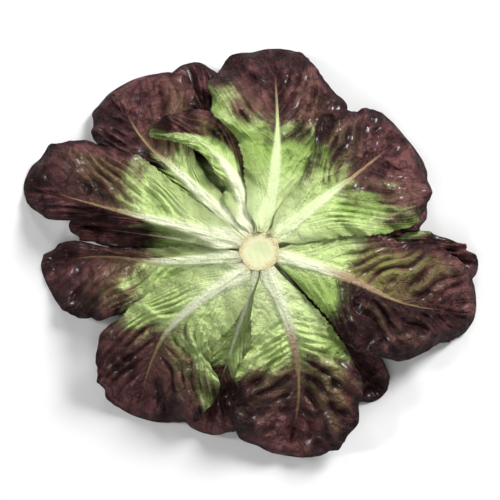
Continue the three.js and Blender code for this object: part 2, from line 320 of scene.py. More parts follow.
class BladePlan:
    """The plan of one blade, in shares u along it and v across it (-1 left margin, 0 rib, 1 right margin)."""

    RIB_SHARE = 0.88
    VEIN_BOW = 0.1
    TIP_SHOULDER = (0.94, 0.74)

    def __init__(self, rib: np.ndarray, foot_side: np.ndarray, left: list[float], right: list[float]) -> None:
        """Lays out the margin.

        Args:
            rib: Points of the midrib from the foot to the tip.
            foot_side: Unit direction to the left margin at the foot.
            left: Half widths from the foot on, at even stations.
            right: The same for the right half.
        """
        self.rib = Curve(rib)
        self.foot_side = foot_side
        margin = [*self._margin(left, 1.0), self.rib.along([1.0])[0], *self._margin(right, -1.0)[::-1]]
        self.outline = Curve(np.array(margin))

    def _margin(self, widths: list[float], sign: float) -> list[np.ndarray]:
        """Lays out one margin from the foot to the shoulder of the tip.

        Args:
            widths: Half widths at even stations.
            sign: 1 for the left margin, -1 for the right one.

        Returns:
            Its points.
        """
        stations = [(k / len(widths), width) for k, width in enumerate(widths)]
        stations.append((self.TIP_SHOULDER[0], self.TIP_SHOULDER[1] * widths[-1]))
        points = []
        for share, width in stations:
            along = self.rib.heading([share])[0]
            side = self.foot_side if share == 0 else np.array([-along[1], along[0]])
            points.append(self.rib.along([share])[0] + side * sign * width)
        return points

    def place(self, u: np.ndarray, v: np.ndarray) -> tuple[np.ndarray, np.ndarray]:
        """Where shares along and across the blade are.

        Args:
            u: Shares along, of any shape.
            v: Shares across, of the same shape.

        Returns:
            The points, and the half width of the blade there.
        """
        flat_u, flat_v = u.ravel(), v.ravel()
        foot = self.rib.along(flat_u * self.RIB_SHARE)
        reach = self.outline.at(np.where(flat_v < 0, flat_u / 2, 1 - flat_u / 2)) - foot
        half_width = np.linalg.norm(reach, axis=1)
        share = np.abs(flat_v)
        bow = 4 * self.VEIN_BOW * flat_u * (1 - flat_u) * share * (1 - share) * half_width
        points = foot + reach * share[:, None] + self.rib.heading(flat_u) * bow[:, None]
        return points.reshape(*u.shape, 2), half_width.reshape(u.shape)


@dataclass(frozen=True)
class BladeGrid:
    """The grid of a blade, a row for each share along it.

    Attributes:
        u: Shares along.
        v: Shares across.
        w: Shares along the rib where the side vein through a place starts.
        xy: Plan.
        half_width: Half width of the blade.
        seed: Fixes what is random.
        tip: Share along where the last vein starts, which belongs to both halves.
    """

    u: np.ndarray
    v: np.ndarray
    w: np.ndarray
    xy: np.ndarray
    half_width: np.ndarray
    seed: int
    tip: float = 0.86

    @property
    def s(self) -> np.ndarray:
        """Shares from the rib to a margin."""
        return np.abs(self.v)

    @property
    def away(self) -> np.ndarray:
        """Distances from the rib."""
        return self.s * self.half_width

    @property
    def join(self) -> np.ndarray:
        """How much a place belongs to both halves."""
        return smoothstep(self.tip, 1.0, self.u)

    def joined(self, values: np.ndarray) -> np.ndarray:
        """Values that become the same on both halves towards the tip."""
        return lerp(values, (values + values[:, ::-1]) / 2, self.join)

    def halves(self, left: object, right: object) -> np.ndarray:
        """One value or array on the left half and another on the right half."""
        return np.where(self.v < 0, left, right)

    def layers(self) -> dict[str, np.ndarray]:
        """What places the veins that a finish draws."""
        return {"along": self.w, "across": self.v, "half_width": self.half_width}

    def noise(self, length: float, number: int) -> np.ndarray:
        """Smooth noise over the plan, of a wavelength and with its own number."""
        return ripple(self.xy[..., 0], self.xy[..., 1], length, self.seed + number)


@dataclass
class BladeSheet:
    """A closed blade: rows of points from foot to tip on its upper and lower face, in millimetres.

    The last row is the vein that runs to the tip. Both halves share it.
    """

    upper: np.ndarray
    lower: np.ndarray
    layers: dict[str, np.ndarray] = field(default_factory=dict)

    def piece(self, name: str, material: Material) -> Object:
        """Makes the blade's object.

        Args:
            name: Name of the object.
            material: Its finish.

        Returns:
            The object, at the origin, with a float attribute for each layer.
        """
        rows, across = self.upper.shape[0] - 1, self.upper.shape[1]
        columns = across // 2
        index = np.arange((rows + 1) * across).reshape(rows + 1, across)
        index[rows] = index[rows, columns + np.abs(np.arange(across) - columns)]
        corners = (index[:-1, :-1], index[:-1, 1:], index[1:, 1:], index[1:, :-1])
        top = np.stack(corners, axis=-1).reshape(-1, 4)
        under = top[:, ::-1] + index.size
        border = np.concatenate([index[::-1, 0], index[0, 1:], index[1:, -1]])
        first, second = border[:-1], border[1:]
        wall = np.stack([second, first, first + index.size, second + index.size], axis=-1)
        used, quads = np.unique(np.concatenate([top, under, wall]), return_inverse=True)
        points = np.concatenate([self.upper.reshape(-1, 3), self.lower.reshape(-1, 3)])[used]
        layers = {label: np.tile(values.ravel(), 2)[used] for label, values in self.layers.items()}
        return smooth_piece(name, points, quads.reshape(-1, 4), layers, material)


class LayMap:
    """The height reached so far over the plan, so that each leaf lies on the ones below it."""

    HALF_SIZE = 170
    EASE = 0.95
    ROUNDS = 60
    SPREAD = 2
    SMOOTH = 14

    def __init__(self) -> None:
        """Starts with the bare surface."""
        self.heights = np.zeros((2 * self.HALF_SIZE, 2 * self.HALF_SIZE))

    def _cells(self, points: np.ndarray) -> tuple[np.ndarray, np.ndarray]:
        """Row and column of the cell under each point."""
        cells = np.clip(np.floor(points[..., :2]).astype(int) + self.HALF_SIZE, 1, 2 * self.HALF_SIZE - 2)
        return cells[..., 1], cells[..., 0]

    def cover(self, points: np.ndarray) -> None:
        """Adds the upper face of a leaf to the map."""
        np.maximum.at(self.heights, self._cells(points), points[..., 2])

    def lift(self, under: np.ndarray, room: np.ndarray) -> np.ndarray:
        """How far a leaf has to rise to clear what lies below it.

        Args:
            under: Grid of points of its lower face.
            room: Gap to leave at each point.

        Returns:
            A lift for each point, which fades along the blade.
        """
        rows, columns = self._cells(under)
        around = [self.heights[rows + i, columns + j] for i in (-1, 0, 1) for j in (-1, 0, 1)]
        need = np.maximum(np.max(around, axis=0) + room - under[..., 2], 0.0)
        need[-1] = np.maximum(need[-1], need[-1, ::-1])
        for _ in range(self.SPREAD):
            need = np.max(self._beside(need), axis=0)
        lift = need
        for _ in range(self.ROUNDS):
            lift = np.maximum(need, self.EASE * np.mean(self._beside(lift), axis=0))
        for _ in range(self.SMOOTH):
            lift = np.mean(self._beside(lift), axis=0)
        return lift

    @staticmethod
    def _beside(grid: np.ndarray) -> list[np.ndarray]:
        """A grid and its four neighbours."""
        edge = np.pad(grid, 1, mode="edge")
        return [grid, edge[:-2, 1:-1], edge[2:, 1:-1], edge[1:-1, :-2], edge[1:-1, 2:]]


class Graph:
    """Adds nodes to a tree and links them."""

    def __init__(self, tree: NodeTree) -> None:
        """Takes the tree to fill."""
        self.tree = tree

    def add(self, kind: str, inputs: dict | None = None, **settings: object) -> Node:
        """Adds one node.

        Args:
            kind: Node type.
            inputs: Values or sockets for its inputs, by name or number.
            settings: Properties of the node.

        Returns:
            The node.
        """
        node = self.tree.nodes.new(kind)
        for key, value in settings.items():
            setattr(node, key, value)
        self.fill(node, inputs or {})
        return node

    def fill(self, node: Node, inputs: dict) -> None:
        """Links or sets inputs of a node, by name or number."""
        for key, value in inputs.items():
            self.put(node.inputs[key], value)

    def put(self, socket: NodeSocket, value: object) -> None:
        """Links a socket, or sets a value on it.

        Args:
            socket: The socket.
            value: Another socket, or the value.
        """
        if isinstance(value, NodeSocket):
            self.tree.links.new(value, socket)
        else:
            socket.default_value = value

    def math(self, operation: str, *values: object) -> NodeSocket:
        """One Math node over values or sockets."""
        return self.add("ShaderNodeMath", dict(enumerate(values)), operation=operation).outputs[0]

    def chain(self, operation: str, first: object, *others: object) -> NodeSocket:
        """Runs one operation over several values, from the first on.

        Args:
            operation: The Math node's operation.
            first: The value or socket to start with.
            others: The values or sockets that follow.

        Returns:
            The result.
        """
        for other in others:
            first = self.math(operation, first, other)
        return first

    def plus(self, *values: object) -> NodeSocket:
        """Sum of values or sockets."""
        return self.chain("ADD", *values)

    def times(self, *values: object) -> NodeSocket:
        """Product of values or sockets."""
        return self.chain("MULTIPLY", *values)

    def minus(self, first: object, second: object) -> NodeSocket:
        """Difference of two values or sockets."""
        return self.math("SUBTRACT", first, second)

    def off(self, value: object, middle: float) -> NodeSocket:
        """Distance of a value from a middle."""
        return self.math("ABSOLUTE", self.minus(value, middle))

    def blend(self, share: object, start: object, end: object) -> NodeSocket:
        """Mixes two colours.

        Args:
            share: Share of the second one.
            start: The first colour, or its socket.
            end: The second colour, or its socket.

        Returns:
            The mixed colour.
        """
        node = self.add("ShaderNodeMix", data_type="RGBA")
        for key, value in (("Factor_Float", share), ("A_Color", start), ("B_Color", end)):
            socket = next(s for s in node.inputs if s.identifier == key)
            self.put(socket, (*value, 1.0) if isinstance(value, tuple) else value)
        return next(s for s in node.outputs if s.identifier == "Result_Color")

    def ease(
        self, value: object, low: float, high: float, start: float = 0.0, end: float = 1.0
    ) -> NodeSocket:
        """Eases a value between two limits into a new range."""
        inputs = {"Value": value, "From Min": low, "From Max": high, "To Min": start, "To Max": end}
        return self.add("ShaderNodeMapRange", inputs, interpolation_type="SMOOTHSTEP").outputs["Result"]

    def noise(self, vector: object, scale: float, detail: float = 3.0, rough: float = 0.55) -> NodeSocket:
        """Soft noise of a scale per metre."""
        inputs = {"Vector": vector, "Scale": scale, "Detail": detail, "Roughness": rough}
        return self.add("ShaderNodeTexNoise", inputs).outputs["Fac"]

    def crease(self, vector: object, scale: float) -> NodeSocket:
        """Distance from winding lines of a scale per metre."""
        return self.off(self.noise(vector, scale, 2.0), 0.5)

    def vector(self, operation: str, first: object, key: int | str, value: object) -> NodeSocket:
        """One Vector Math node over a vector and one more input, by name or number."""
        return self.add("ShaderNodeVectorMath", {0: first, key: value}, operation=operation).outputs[0]

    def layer(self, name: str) -> NodeSocket:
        """A float attribute of the mesh."""
        return self.add("ShaderNodeAttribute", attribute_name=name).outputs["Fac"]

    def bump(self, height: object, distance: float) -> NodeSocket:
        """A normal that follows small relief."""
        return self.add("ShaderNodeBump", {"Height": height, "Distance": distance}).outputs["Normal"]


def new_skin(name: str) -> tuple[Material, Graph, Node, NodeSocket]:
    """Starts a material.

    Args:
        name: Its name.

    Returns:
        The material, the graph to fill, its shader, and the object's coordinates.
    """
    made = bpy.data.materials.new(name)
    made.use_nodes = True
    graph = Graph(made.node_tree)
    place = graph.add("ShaderNodeTexCoord").outputs["Object"]
    return made, graph, made.node_tree.nodes["Principled BSDF"], place


def shader_group(
    name: str, inputs: dict[str, str], outputs: dict[str, str]
) -> tuple[Graph, Node, Node]:
    """Starts a shader node group.

    Args:
        name: Its name.
        inputs: Socket types by input name.
        outputs: Socket types by output name.

    Returns:
        The graph to fill, its input node and its output node.
    """
    tree = bpy.data.node_groups.new(name, "ShaderNodeTree")
    for way, sockets in (("INPUT", inputs), ("OUTPUT", outputs)):
        for label, kind in sockets.items():
            tree.interface.new_socket(label, in_out=way, socket_type=kind)
    graph = Graph(tree)
    return graph, graph.add("NodeGroupInput"), graph.add("NodeGroupOutput")


@dataclass(frozen=True)
class LeafColours:
    """Colours of leaf tissue, linear, with a shaded green and a near-black red that are painted shade, and a
    wine red that is also painted light on ridges.
    """

    green: RGB = (0.560, 0.710, 0.275)
    # Painted shade: the green of dents and creases.
    shaded_green: RGB = (0.270, 0.400, 0.090)
    pale: RGB = (0.650, 0.750, 0.400)
    white: RGB = (0.790, 0.825, 0.590)
    purple: RGB = (0.084, 0.028, 0.032)
    # Wine red of the real mottle, and painted light on ridges and away from creases.
    wine_and_ridge_light: RGB = (0.156, 0.060, 0.060)
    # Painted shade: near-black red of dents and creases.
    shade_red: RGB = (0.016, 0.005, 0.007)
    olive: RGB = (0.220, 0.200, 0.070)
    tan: RGB = (0.290, 0.165, 0.090)
    vein_green: RGB = (0.500, 0.630, 0.270)
    vein_red: RGB = (0.150, 0.070, 0.062)


class LeafEffects:
    """Shader groups that every leaf finish shares."""

    # One of these layers paints light on the relief's crests and shade in its dents.
    MESH_LAYERS = ("Blush", "Olive", "Pale", "Tan", "Rib", "Crest", "Level")
    VEIN_LAYERS = ("Side vein", "Arc", "Cell", "Net", "Strand")
    FOLD, WRINKLE = 75.0, 190.0

    def __init__(self, colours: LeafColours) -> None:
        """Builds the groups."""
        self.colours = colours
        self.veins, self.pigment, self.relief = self._veins(), self._pigment(), self._relief()

    def _veins(self) -> NodeTree:
        """Draws lines along the side veins, the cells and the net between them, and strands along the rib.

        Returns:
            The group.
        """
        inputs = ("Along", "Across", "Half width", "Count", "Length")
        graph, given, made = shader_group(
            "Leaf veins", dict.fromkeys(inputs, FLOAT), dict.fromkeys(self.VEIN_LAYERS, FLOAT)
        )
        along, across, half_width, count, length = (given.outputs[label] for label in inputs)
        off = graph.off(graph.math("FRACT", graph.times(along, count)), 0.5)
        side = graph.math("ABSOLUTE", across)
        gap = graph.math("DIVIDE", graph.times(off, length), count)
        gap = graph.math("DIVIDE", gap, graph.ease(side, 0.0, 1.0, 0.8, 0.35))
        line = graph.minus(1.0, graph.math("MINIMUM", gap, 1.0))
        x, y = graph.times(along, length), graph.times(across, half_width)
        flat = graph.add("ShaderNodeCombineXYZ", {"X": x, "Y": graph.times(y, 0.62)}).outputs[0]
        soft = {"Vector": flat, "Scale": 0.12, "Detail": 2.0}
        warp = graph.add("ShaderNodeTexNoise", soft).outputs["Color"]
        warp = graph.vector("SUBTRACT", warp, 1, (0.5, 0.5, 0.5))
        bent = graph.vector("ADD", flat, 1, graph.vector("SCALE", warp, "Scale", 5.0))
        cells = graph.add("ShaderNodeTexVoronoi", {"Vector": bent, "Scale": 0.27}, feature="DISTANCE_TO_EDGE")
        drawn = graph.add("ShaderNodeCombineXYZ", {"X": graph.times(x, 0.05), "Y": y}).outputs[0]
        lines = {
            "Cell": graph.ease(off, 0.08, 0.42),
            "Arc": graph.ease(graph.off(graph.times(off, 4.0), 1.0), 0.0, 0.9),
            "Side vein": graph.times(line, graph.ease(side, 1.0, 0.86)),
            "Net": graph.ease(cells.outputs["Distance"], 0.09, 0.0),
            "Strand": graph.ease(graph.noise(drawn, 0.75, 2.0), 0.36, 0.64),
        }
        graph.fill(made, lines)
        return graph.tree

    def _pigment(self) -> NodeTree:
        """Colours green flesh, red pigment over it, pale ribs and veins, paints shade into dents and creases
        and light onto ridges, and sets their gloss.

        Returns:
            The group.
        """
        layers = dict.fromkeys((*self.MESH_LAYERS, *self.VEIN_LAYERS), FLOAT)
        outputs = {"Color": COLOR, "Roughness": FLOAT, "Wet": FLOAT}
        graph, given, made = shader_group("Leaf colour and painted shade", {"Place": VECTOR, **layers}, outputs)
        get, colours = given.outputs, self.colours
        place = get["Place"]
        broad, fine = graph.noise(place, 55.0), graph.noise(place, 420.0, 4.0, 0.65)
        patches, specks = graph.noise(place, 130.0), graph.noise(place, 1500.0, 2.0)
        fold, wrinkle = graph.crease(place, self.FOLD), graph.crease(place, self.WRINKLE)
        # Painted shade: colour darkens in the creases of the fold and wrinkle noise that also bumps the
        # relief.
        crease_shade = graph.ease(fold, 0.0, 0.07, 0.65, 0.0)
        crease_shade = graph.math("MAXIMUM", crease_shade, graph.ease(wrinkle, 0.0, 0.06, 0.3, 0.0))
        # Painted light and shade: the relief's height layer and broad noise make ridges lighter and dents
        # darker.
        rise = graph.plus(get["Crest"], graph.ease(broad, 0.25, 0.75, -0.3, 0.3))

        # Painted shade: the green darkens in dents and creases.
        green = graph.blend(graph.ease(rise, 0.05, 0.75), colours.shaded_green, colours.green)
        green = graph.blend(graph.ease(fine, 0.3, 0.75, 0.0, 0.3), green, colours.vein_green)
        green = graph.blend(graph.times(crease_shade, 0.28), green, colours.shaded_green)
        green = graph.blend(get["Pale"], green, colours.pale)

        # Painted light and shade: the red runs from a near-black red in dents, through purple, to wine on
        # ridges and vein arcs, is lighter away from creases and darkest in them; the fine noise's wine is
        # real mottle.
        arc = graph.times(graph.minus(get["Arc"], 0.55), graph.ease(patches, 0.35, 0.65, 0.0, 0.3))
        red_shading = graph.plus(rise, arc)
        red = graph.blend(graph.ease(red_shading, 0.1, 0.6), colours.shade_red, colours.purple)
        red = graph.blend(graph.ease(red_shading, 0.45, 0.95), red, colours.wine_and_ridge_light)
        red = graph.blend(graph.ease(fine, 0.4, 0.85, 0.0, 0.4), red, colours.wine_and_ridge_light)
        red = graph.blend(graph.ease(fold, 0.08, 0.2, 0.0, 0.3), red, colours.wine_and_ridge_light)
        red = graph.blend(crease_shade, red, colours.shade_red)
        cell = graph.plus(graph.times(get["Cell"], 0.25), graph.ease(patches, 0.2, 0.8, 0.0, 0.6))
        # More olive shows on crests, which is partly painted light.
        cell = graph.plus(cell, graph.times(get["Crest"], 0.6))
        red = graph.blend(graph.times(get["Olive"], graph.ease(cell, 0.35, 1.05)), red, colours.olive)

        mottle = graph.plus(graph.ease(fine, 0.2, 0.8, -0.1, 0.1), graph.ease(specks, 0.3, 0.7, -0.05, 0.05))
        mottle = graph.plus(mottle, graph.times(graph.minus(get["Arc"], 0.5), 0.08))
        amount = graph.plus(get["Blush"], mottle, graph.ease(patches, 0.2, 0.8, -0.1, 0.1))
        amount = graph.ease(amount, 0.1, 0.95)
        vein = graph.blend(amount, colours.vein_green, colours.vein_red)
        lines = graph.math("MAXIMUM", graph.times(get["Side vein"], 0.5), graph.times(get["Net"], 0.1))
        flesh = graph.blend(lines, graph.blend(amount, green, red), vein)

        bone = graph.blend(get["Pale"], colours.vein_green, colours.white)
        bone = graph.blend(graph.times(get["Strand"], 0.3), bone, colours.vein_green)
        bone = graph.blend(graph.times(get["Tan"], graph.ease(fine, 0.3, 0.7, 0.75, 1.0)), bone, colours.tan)

        dry = graph.times(graph.ease(amount, 0.0, 1.0, 0.16, 0.0), graph.ease(broad, 0.3, 0.7, 0.7, 1.0))
        dry = graph.plus(dry, graph.ease(get["Level"], 0.0, 1.0, 0.25, 0.0))
        wet = graph.ease(graph.noise(place, 60.0, 1.0), 0.44, 0.62, 0.0, 0.9)
        graph.fill(
            made,
            {
                "Color": graph.blend(get["Rib"], flesh, bone),
                "Roughness": graph.plus(graph.ease(patches, 0.3, 0.7, 0.30, 0.42), dry),
                "Wet": graph.times(wet, get["Level"], amount),
            },
        )
        return graph.tree

    def _relief(self) -> NodeTree:
        """Raises veins, their net and folds off the rib, strands along it, and the grain of the skin.

        Returns:
            The group.
        """
        layers = dict.fromkeys(("Rib", "Pale", "Side vein", "Arc", "Net", "Strand"), FLOAT)
        graph, given, made = shader_group("Leaf relief", {"Place": VECTOR, **layers}, {"Height": FLOAT})
        get = given.outputs
        place = get["Place"]
        blade = graph.minus(1.0, graph.math("MAXIMUM", get["Rib"], graph.times(get["Pale"], 0.7)))
        lifts = (
            (get["Side vein"], 0.3, blade),
            (get["Arc"], 0.12, blade),
            (get["Net"], 0.1, blade),
            (get["Strand"], 0.12, get["Rib"]),
            (graph.crease(place, self.FOLD), 3.6, blade),
            (graph.crease(place, self.WRINKLE), 1.7, blade),
        )
        grain = graph.times(graph.noise(place, 520.0, 4.0, 0.6), 0.7)
        graph.fill(made, {"Height": graph.plus(grain, *(graph.times(*lift) for lift in lifts))})
        return graph.tree


@dataclass(frozen=True)
class LeafFinish:
    """The skin of a leaf, from its mesh layers.

    Attributes:
        name: Name of the material.
        veins: Side veins on each half.
        length: Length of the leaf.
        bump: Height of the small relief, in metres.
        coat_roughness: Roughness of its wet patches.
        specular: Strength of its dry gloss.
        subsurface: Share of light that goes through the skin.
        subsurface_radius: How far red, green and blue go.
        subsurface_scale: Unit of those, in metres.
    """

    name: str
    veins: float
    length: float
    bump: float = 0.0020
    coat_roughness: float = 0.27
    specular: float = 0.1
    subsurface: float = 0.06
    subsurface_radius: RGB = (0.6, 1.0, 0.25)
    subsurface_scale: float = 0.002

    def material(self, effects: LeafEffects) -> Material:
        """Builds the material.

        Args:
            effects: The shared groups.

        Returns:
            The material.
        """
        made, graph, skin, place = new_skin(self.name)
        given = {"Count": self.veins, "Length": self.length}
        for label in ("Along", "Across", "Half width"):
            given[label] = graph.layer(label.lower().replace(" ", "_"))
        veins = graph.add("ShaderNodeGroup", given, node_tree=effects.veins)
        layers = {"Place": place}
        layers |= {label: graph.layer(label.lower()) for label in effects.MESH_LAYERS}
        layers |= {label: veins.outputs[label] for label in effects.VEIN_LAYERS}
        trees = (effects.pigment, effects.relief)
        pigment, relief = (graph.add("ShaderNodeGroup", node_tree=tree) for tree in trees)
        for node in (pigment, relief):
            graph.fill(node, {label: value for label, value in layers.items() if label in node.inputs})
        graph.fill(
            skin,
            {
                "Base Color": pigment.outputs["Color"],
                "Roughness": pigment.outputs["Roughness"],
                "Coat Weight": pigment.outputs["Wet"],
                "Coat Roughness": self.coat_roughness,
                "Specular IOR Level": self.specular,
                "Subsurface Weight": self.subsurface,
                "Subsurface Radius": self.subsurface_radius,
                "Subsurface Scale": self.subsurface_scale,
                "Normal": graph.bump(relief.outputs["Height"], self.bump),
            },
        )
        return made


@dataclass(frozen=True)
class VeinFinish:
    """The skin of the raised side veins, which take up the pigment of the blade round them."""

    name: str = "raised vein"
    roughness: float = 0.42
    specular: float = 0.10
    bump: float = 0.0003

    def material(self, colours: LeafColours) -> Material:
        """Builds the material.

        Args:
            colours: Colours of leaf tissue.

        Returns:
            The material.
        """
        made, graph, skin, place = new_skin(self.name)
        mottle = graph.ease(graph.noise(place, 300.0), 0.3, 0.7, -0.2, 0.2)
        amount = graph.ease(graph.plus(graph.layer("blush"), mottle), 0.3, 0.75)
        flesh = graph.blend(graph.layer("pale"), colours.vein_green, colours.pale)
        graph.fill(
            skin,
            {
                "Base Color": graph.blend(amount, flesh, colours.purple),
                "Roughness": self.roughness,
                "Specular IOR Level": self.specular,
                "Normal": graph.bump(graph.noise(place, 700.0), self.bump),
            },
        )
        return made


@dataclass(frozen=True)
class StemFinish:
    """Cut stem flesh: cream pith, a yellower ring, and a tan rim and side."""

    name: str = "stem flesh"
    pith: RGB = (0.60, 0.66, 0.37)
    ring: RGB = (0.68, 0.68, 0.42)
    rim: RGB = (0.62, 0.54, 0.28)
    rust: RGB = (0.42, 0.29, 0.13)
    subsurface: float = 0.15
    subsurface_radius: RGB = (1.0, 0.9, 0.5)
    subsurface_scale: float = 0.002
    bump: float = 0.0004

    def material(self) -> Material:
        """Builds the material.

        Returns:
            The material.
        """
        made, graph, flesh, place = new_skin(self.name)
        broad, fine = graph.noise(place, 260.0), graph.noise(place, 1300.0, 4.0, 0.65)
        out = graph.plus(graph.layer("out"), graph.ease(broad, 0.2, 0.8, -0.14, 0.14))
        colour = graph.blend(graph.ease(out, 0.25, 0.7), self.pith, self.ring)
        colour = graph.blend(graph.ease(out, 0.68, 0.95, 0.0, 0.8), colour, self.rim)
        stain = graph.times(graph.ease(out, 0.72, 1.0), graph.ease(fine, 0.52, 0.66, 0.0, 0.7))
        colour = graph.blend(stain, colour, self.rust)
        graph.fill(
            flesh,
            {
                "Base Color": graph.blend(graph.ease(fine, 0.5, 0.8, 0.0, 0.35), colour, self.ring),
                "Roughness": graph.ease(fine, 0.3, 0.7, 0.42, 0.62),
                "Subsurface Weight": self.subsurface,
                "Subsurface Radius": self.subsurface_radius,
                "Subsurface Scale": self.subsurface_scale,
                "Normal": graph.bump(fine, self.bump),
            },
        )
        return made


def geometry_tree(
    name: str, inputs: dict[str, tuple[str, object]]
) -> tuple[Graph, bpy.types.NodeOutputs, dict[str, str]]:
    """Starts a Geometry Nodes tree.

    Args:
        name: Its name.
        inputs: Socket type and value by input name.

    Returns:
        The graph to fill, the sockets of its inputs, and the identifier of each named input.
    """
    tree = bpy.data.node_groups.new(name, "GeometryNodeTree")
    for way in ("INPUT", "OUTPUT"):
        tree.interface.new_socket("Geometry", in_out=way, socket_type=GEOMETRY)
    named = {}
    for label, (kind, value) in inputs.items():
        socket = tree.interface.new_socket(label, in_out="INPUT", socket_type=kind)
        if value is not None:
            socket.default_value = value
        named[label] = socket.identifier
    graph = Graph(tree)
    return graph, graph.add("NodeGroupInput").outputs, named


def close_tree(graph: Graph, geometry: NodeSocket, material: NodeSocket) -> None:
    """Ends a Geometry Nodes tree in a plain, smooth mesh with its finish.

    Args:
        graph: The graph.
        geometry: What it made.
        material: The finish.
    """
    real = graph.add("GeometryNodeRealizeInstances", {"Geometry": geometry}).outputs[0]
    smooth = graph.add("GeometryNodeSetShadeSmooth", {"Geometry": real}).outputs[0]
    done = graph.add("GeometryNodeSetMaterial", {"Geometry": smooth, "Material": material}).outputs[0]
    graph.add("NodeGroupOutput", {0: done})


def grown(name: str, mesh: Mesh, tree: NodeTree, values: dict[str, object]) -> Object:
    """Runs a Geometry Nodes tree on a mesh and keeps the result as a plain mesh.

    Args:
        name: Name of the object.
        mesh: What the tree starts from.
        tree: The tree.
        values: Input values by socket identifier.

    Returns:
        The object, without modifiers.
    """
    made = linked(name, mesh)
    modifier = made.modifiers.new("grow", "NODES")
    modifier.node_group = tree
    for key, value in values.items():
        modifier[key] = value
    graph = bpy.context.evaluated_depsgraph_get()
    result = bpy.data.meshes.new_from_object(made.evaluated_get(graph), depsgraph=graph)
    made.modifiers.remove(modifier)
    made.data = result
    result.name = name
    return made


class VeinCords:
    """Raised side veins: round cords along lines on a blade."""

    SIDES = 6
    RADIUS_LAYER = "cord_radius"

    def __init__(self, material: Material) -> None:
        """Builds the tree that turns lines into cords.

        Args:
            material: The cords' finish.
        """
        self.material = material
        graph, given, self.inputs = geometry_tree(
            "Vein cords", {"Sides": (INT, self.SIDES), "Finish": (MATERIAL, None)}
        )
        lines = graph.add("GeometryNodeMeshToCurve", {"Mesh": given["Geometry"]}).outputs[0]
        circle = {"Resolution": given["Sides"], "Radius": 1.0}
        ring = graph.add("GeometryNodeCurvePrimitiveCircle", circle, mode="RADIUS").outputs["Curve"]
        named = {"Name": self.RADIUS_LAYER}
        thick = graph.add("GeometryNodeInputNamedAttribute", named, data_type="FLOAT").outputs["Attribute"]
        sweep = {"Curve": lines, "Profile Curve": ring, "Scale": thick, "Fill Caps": True}
        cord = graph.add("GeometryNodeCurveToMesh", sweep).outputs["Mesh"]
        close_tree(graph, cord, given["Finish"])
        self.tree = graph.tree

    def piece(self, name: str, lines: list[np.ndarray], layers: dict[str, list[np.ndarray]]) -> Object:
        """Makes the cords of one leaf.

        Args:
            name: Name of the object.
            lines: Points of each line, in millimetres.
            layers: Float attributes by name, an array for each line; the radius is in millimetres.

        Returns:
            The object.
        """
        counts = [len(line) for line in lines]
        starts = np.cumsum([0, *counts[:-1]])
        edges = [(s + k, s + k + 1) for s, count in zip(starts, counts) for k in range(count - 1)]
        mesh = bpy.data.meshes.new(name)
        mesh.from_pydata(np.concatenate(lines) * MM, edges, [])
        flat = {label: np.concatenate(values) for label, values in layers.items()}
        flat[self.RADIUS_LAYER] *= MM
        add_layers(mesh, flat)
        values = {self.inputs["Sides"]: self.SIDES, self.inputs["Finish"]: self.material}
        return grown(name, mesh, self.tree, values)


@dataclass(frozen=True)
class HalfBlade:
    """One half of a blade, from the rib to a margin.

    Attributes:
        widths: Half widths at five even stations.
        turn_rib: Share along the leaf where green turns red at the rib.
        turn_margin: The same at the margin.
        soft: Half the length of that change.
        olive: How much green shows through the red.
        painted_shade: How much painted shade darkens the half; below zero, painted light lightens it.
    """

    widths: tuple[float, ...]
    turn_rib: float
    turn_margin: float
    soft: float = 0.08
    olive: float = 0.2
    # Painted shade darkens halves that face away from the light and halves in shadow between leaves; painted
    # light lightens halves where it is negative.
    painted_shade: float = 0.0


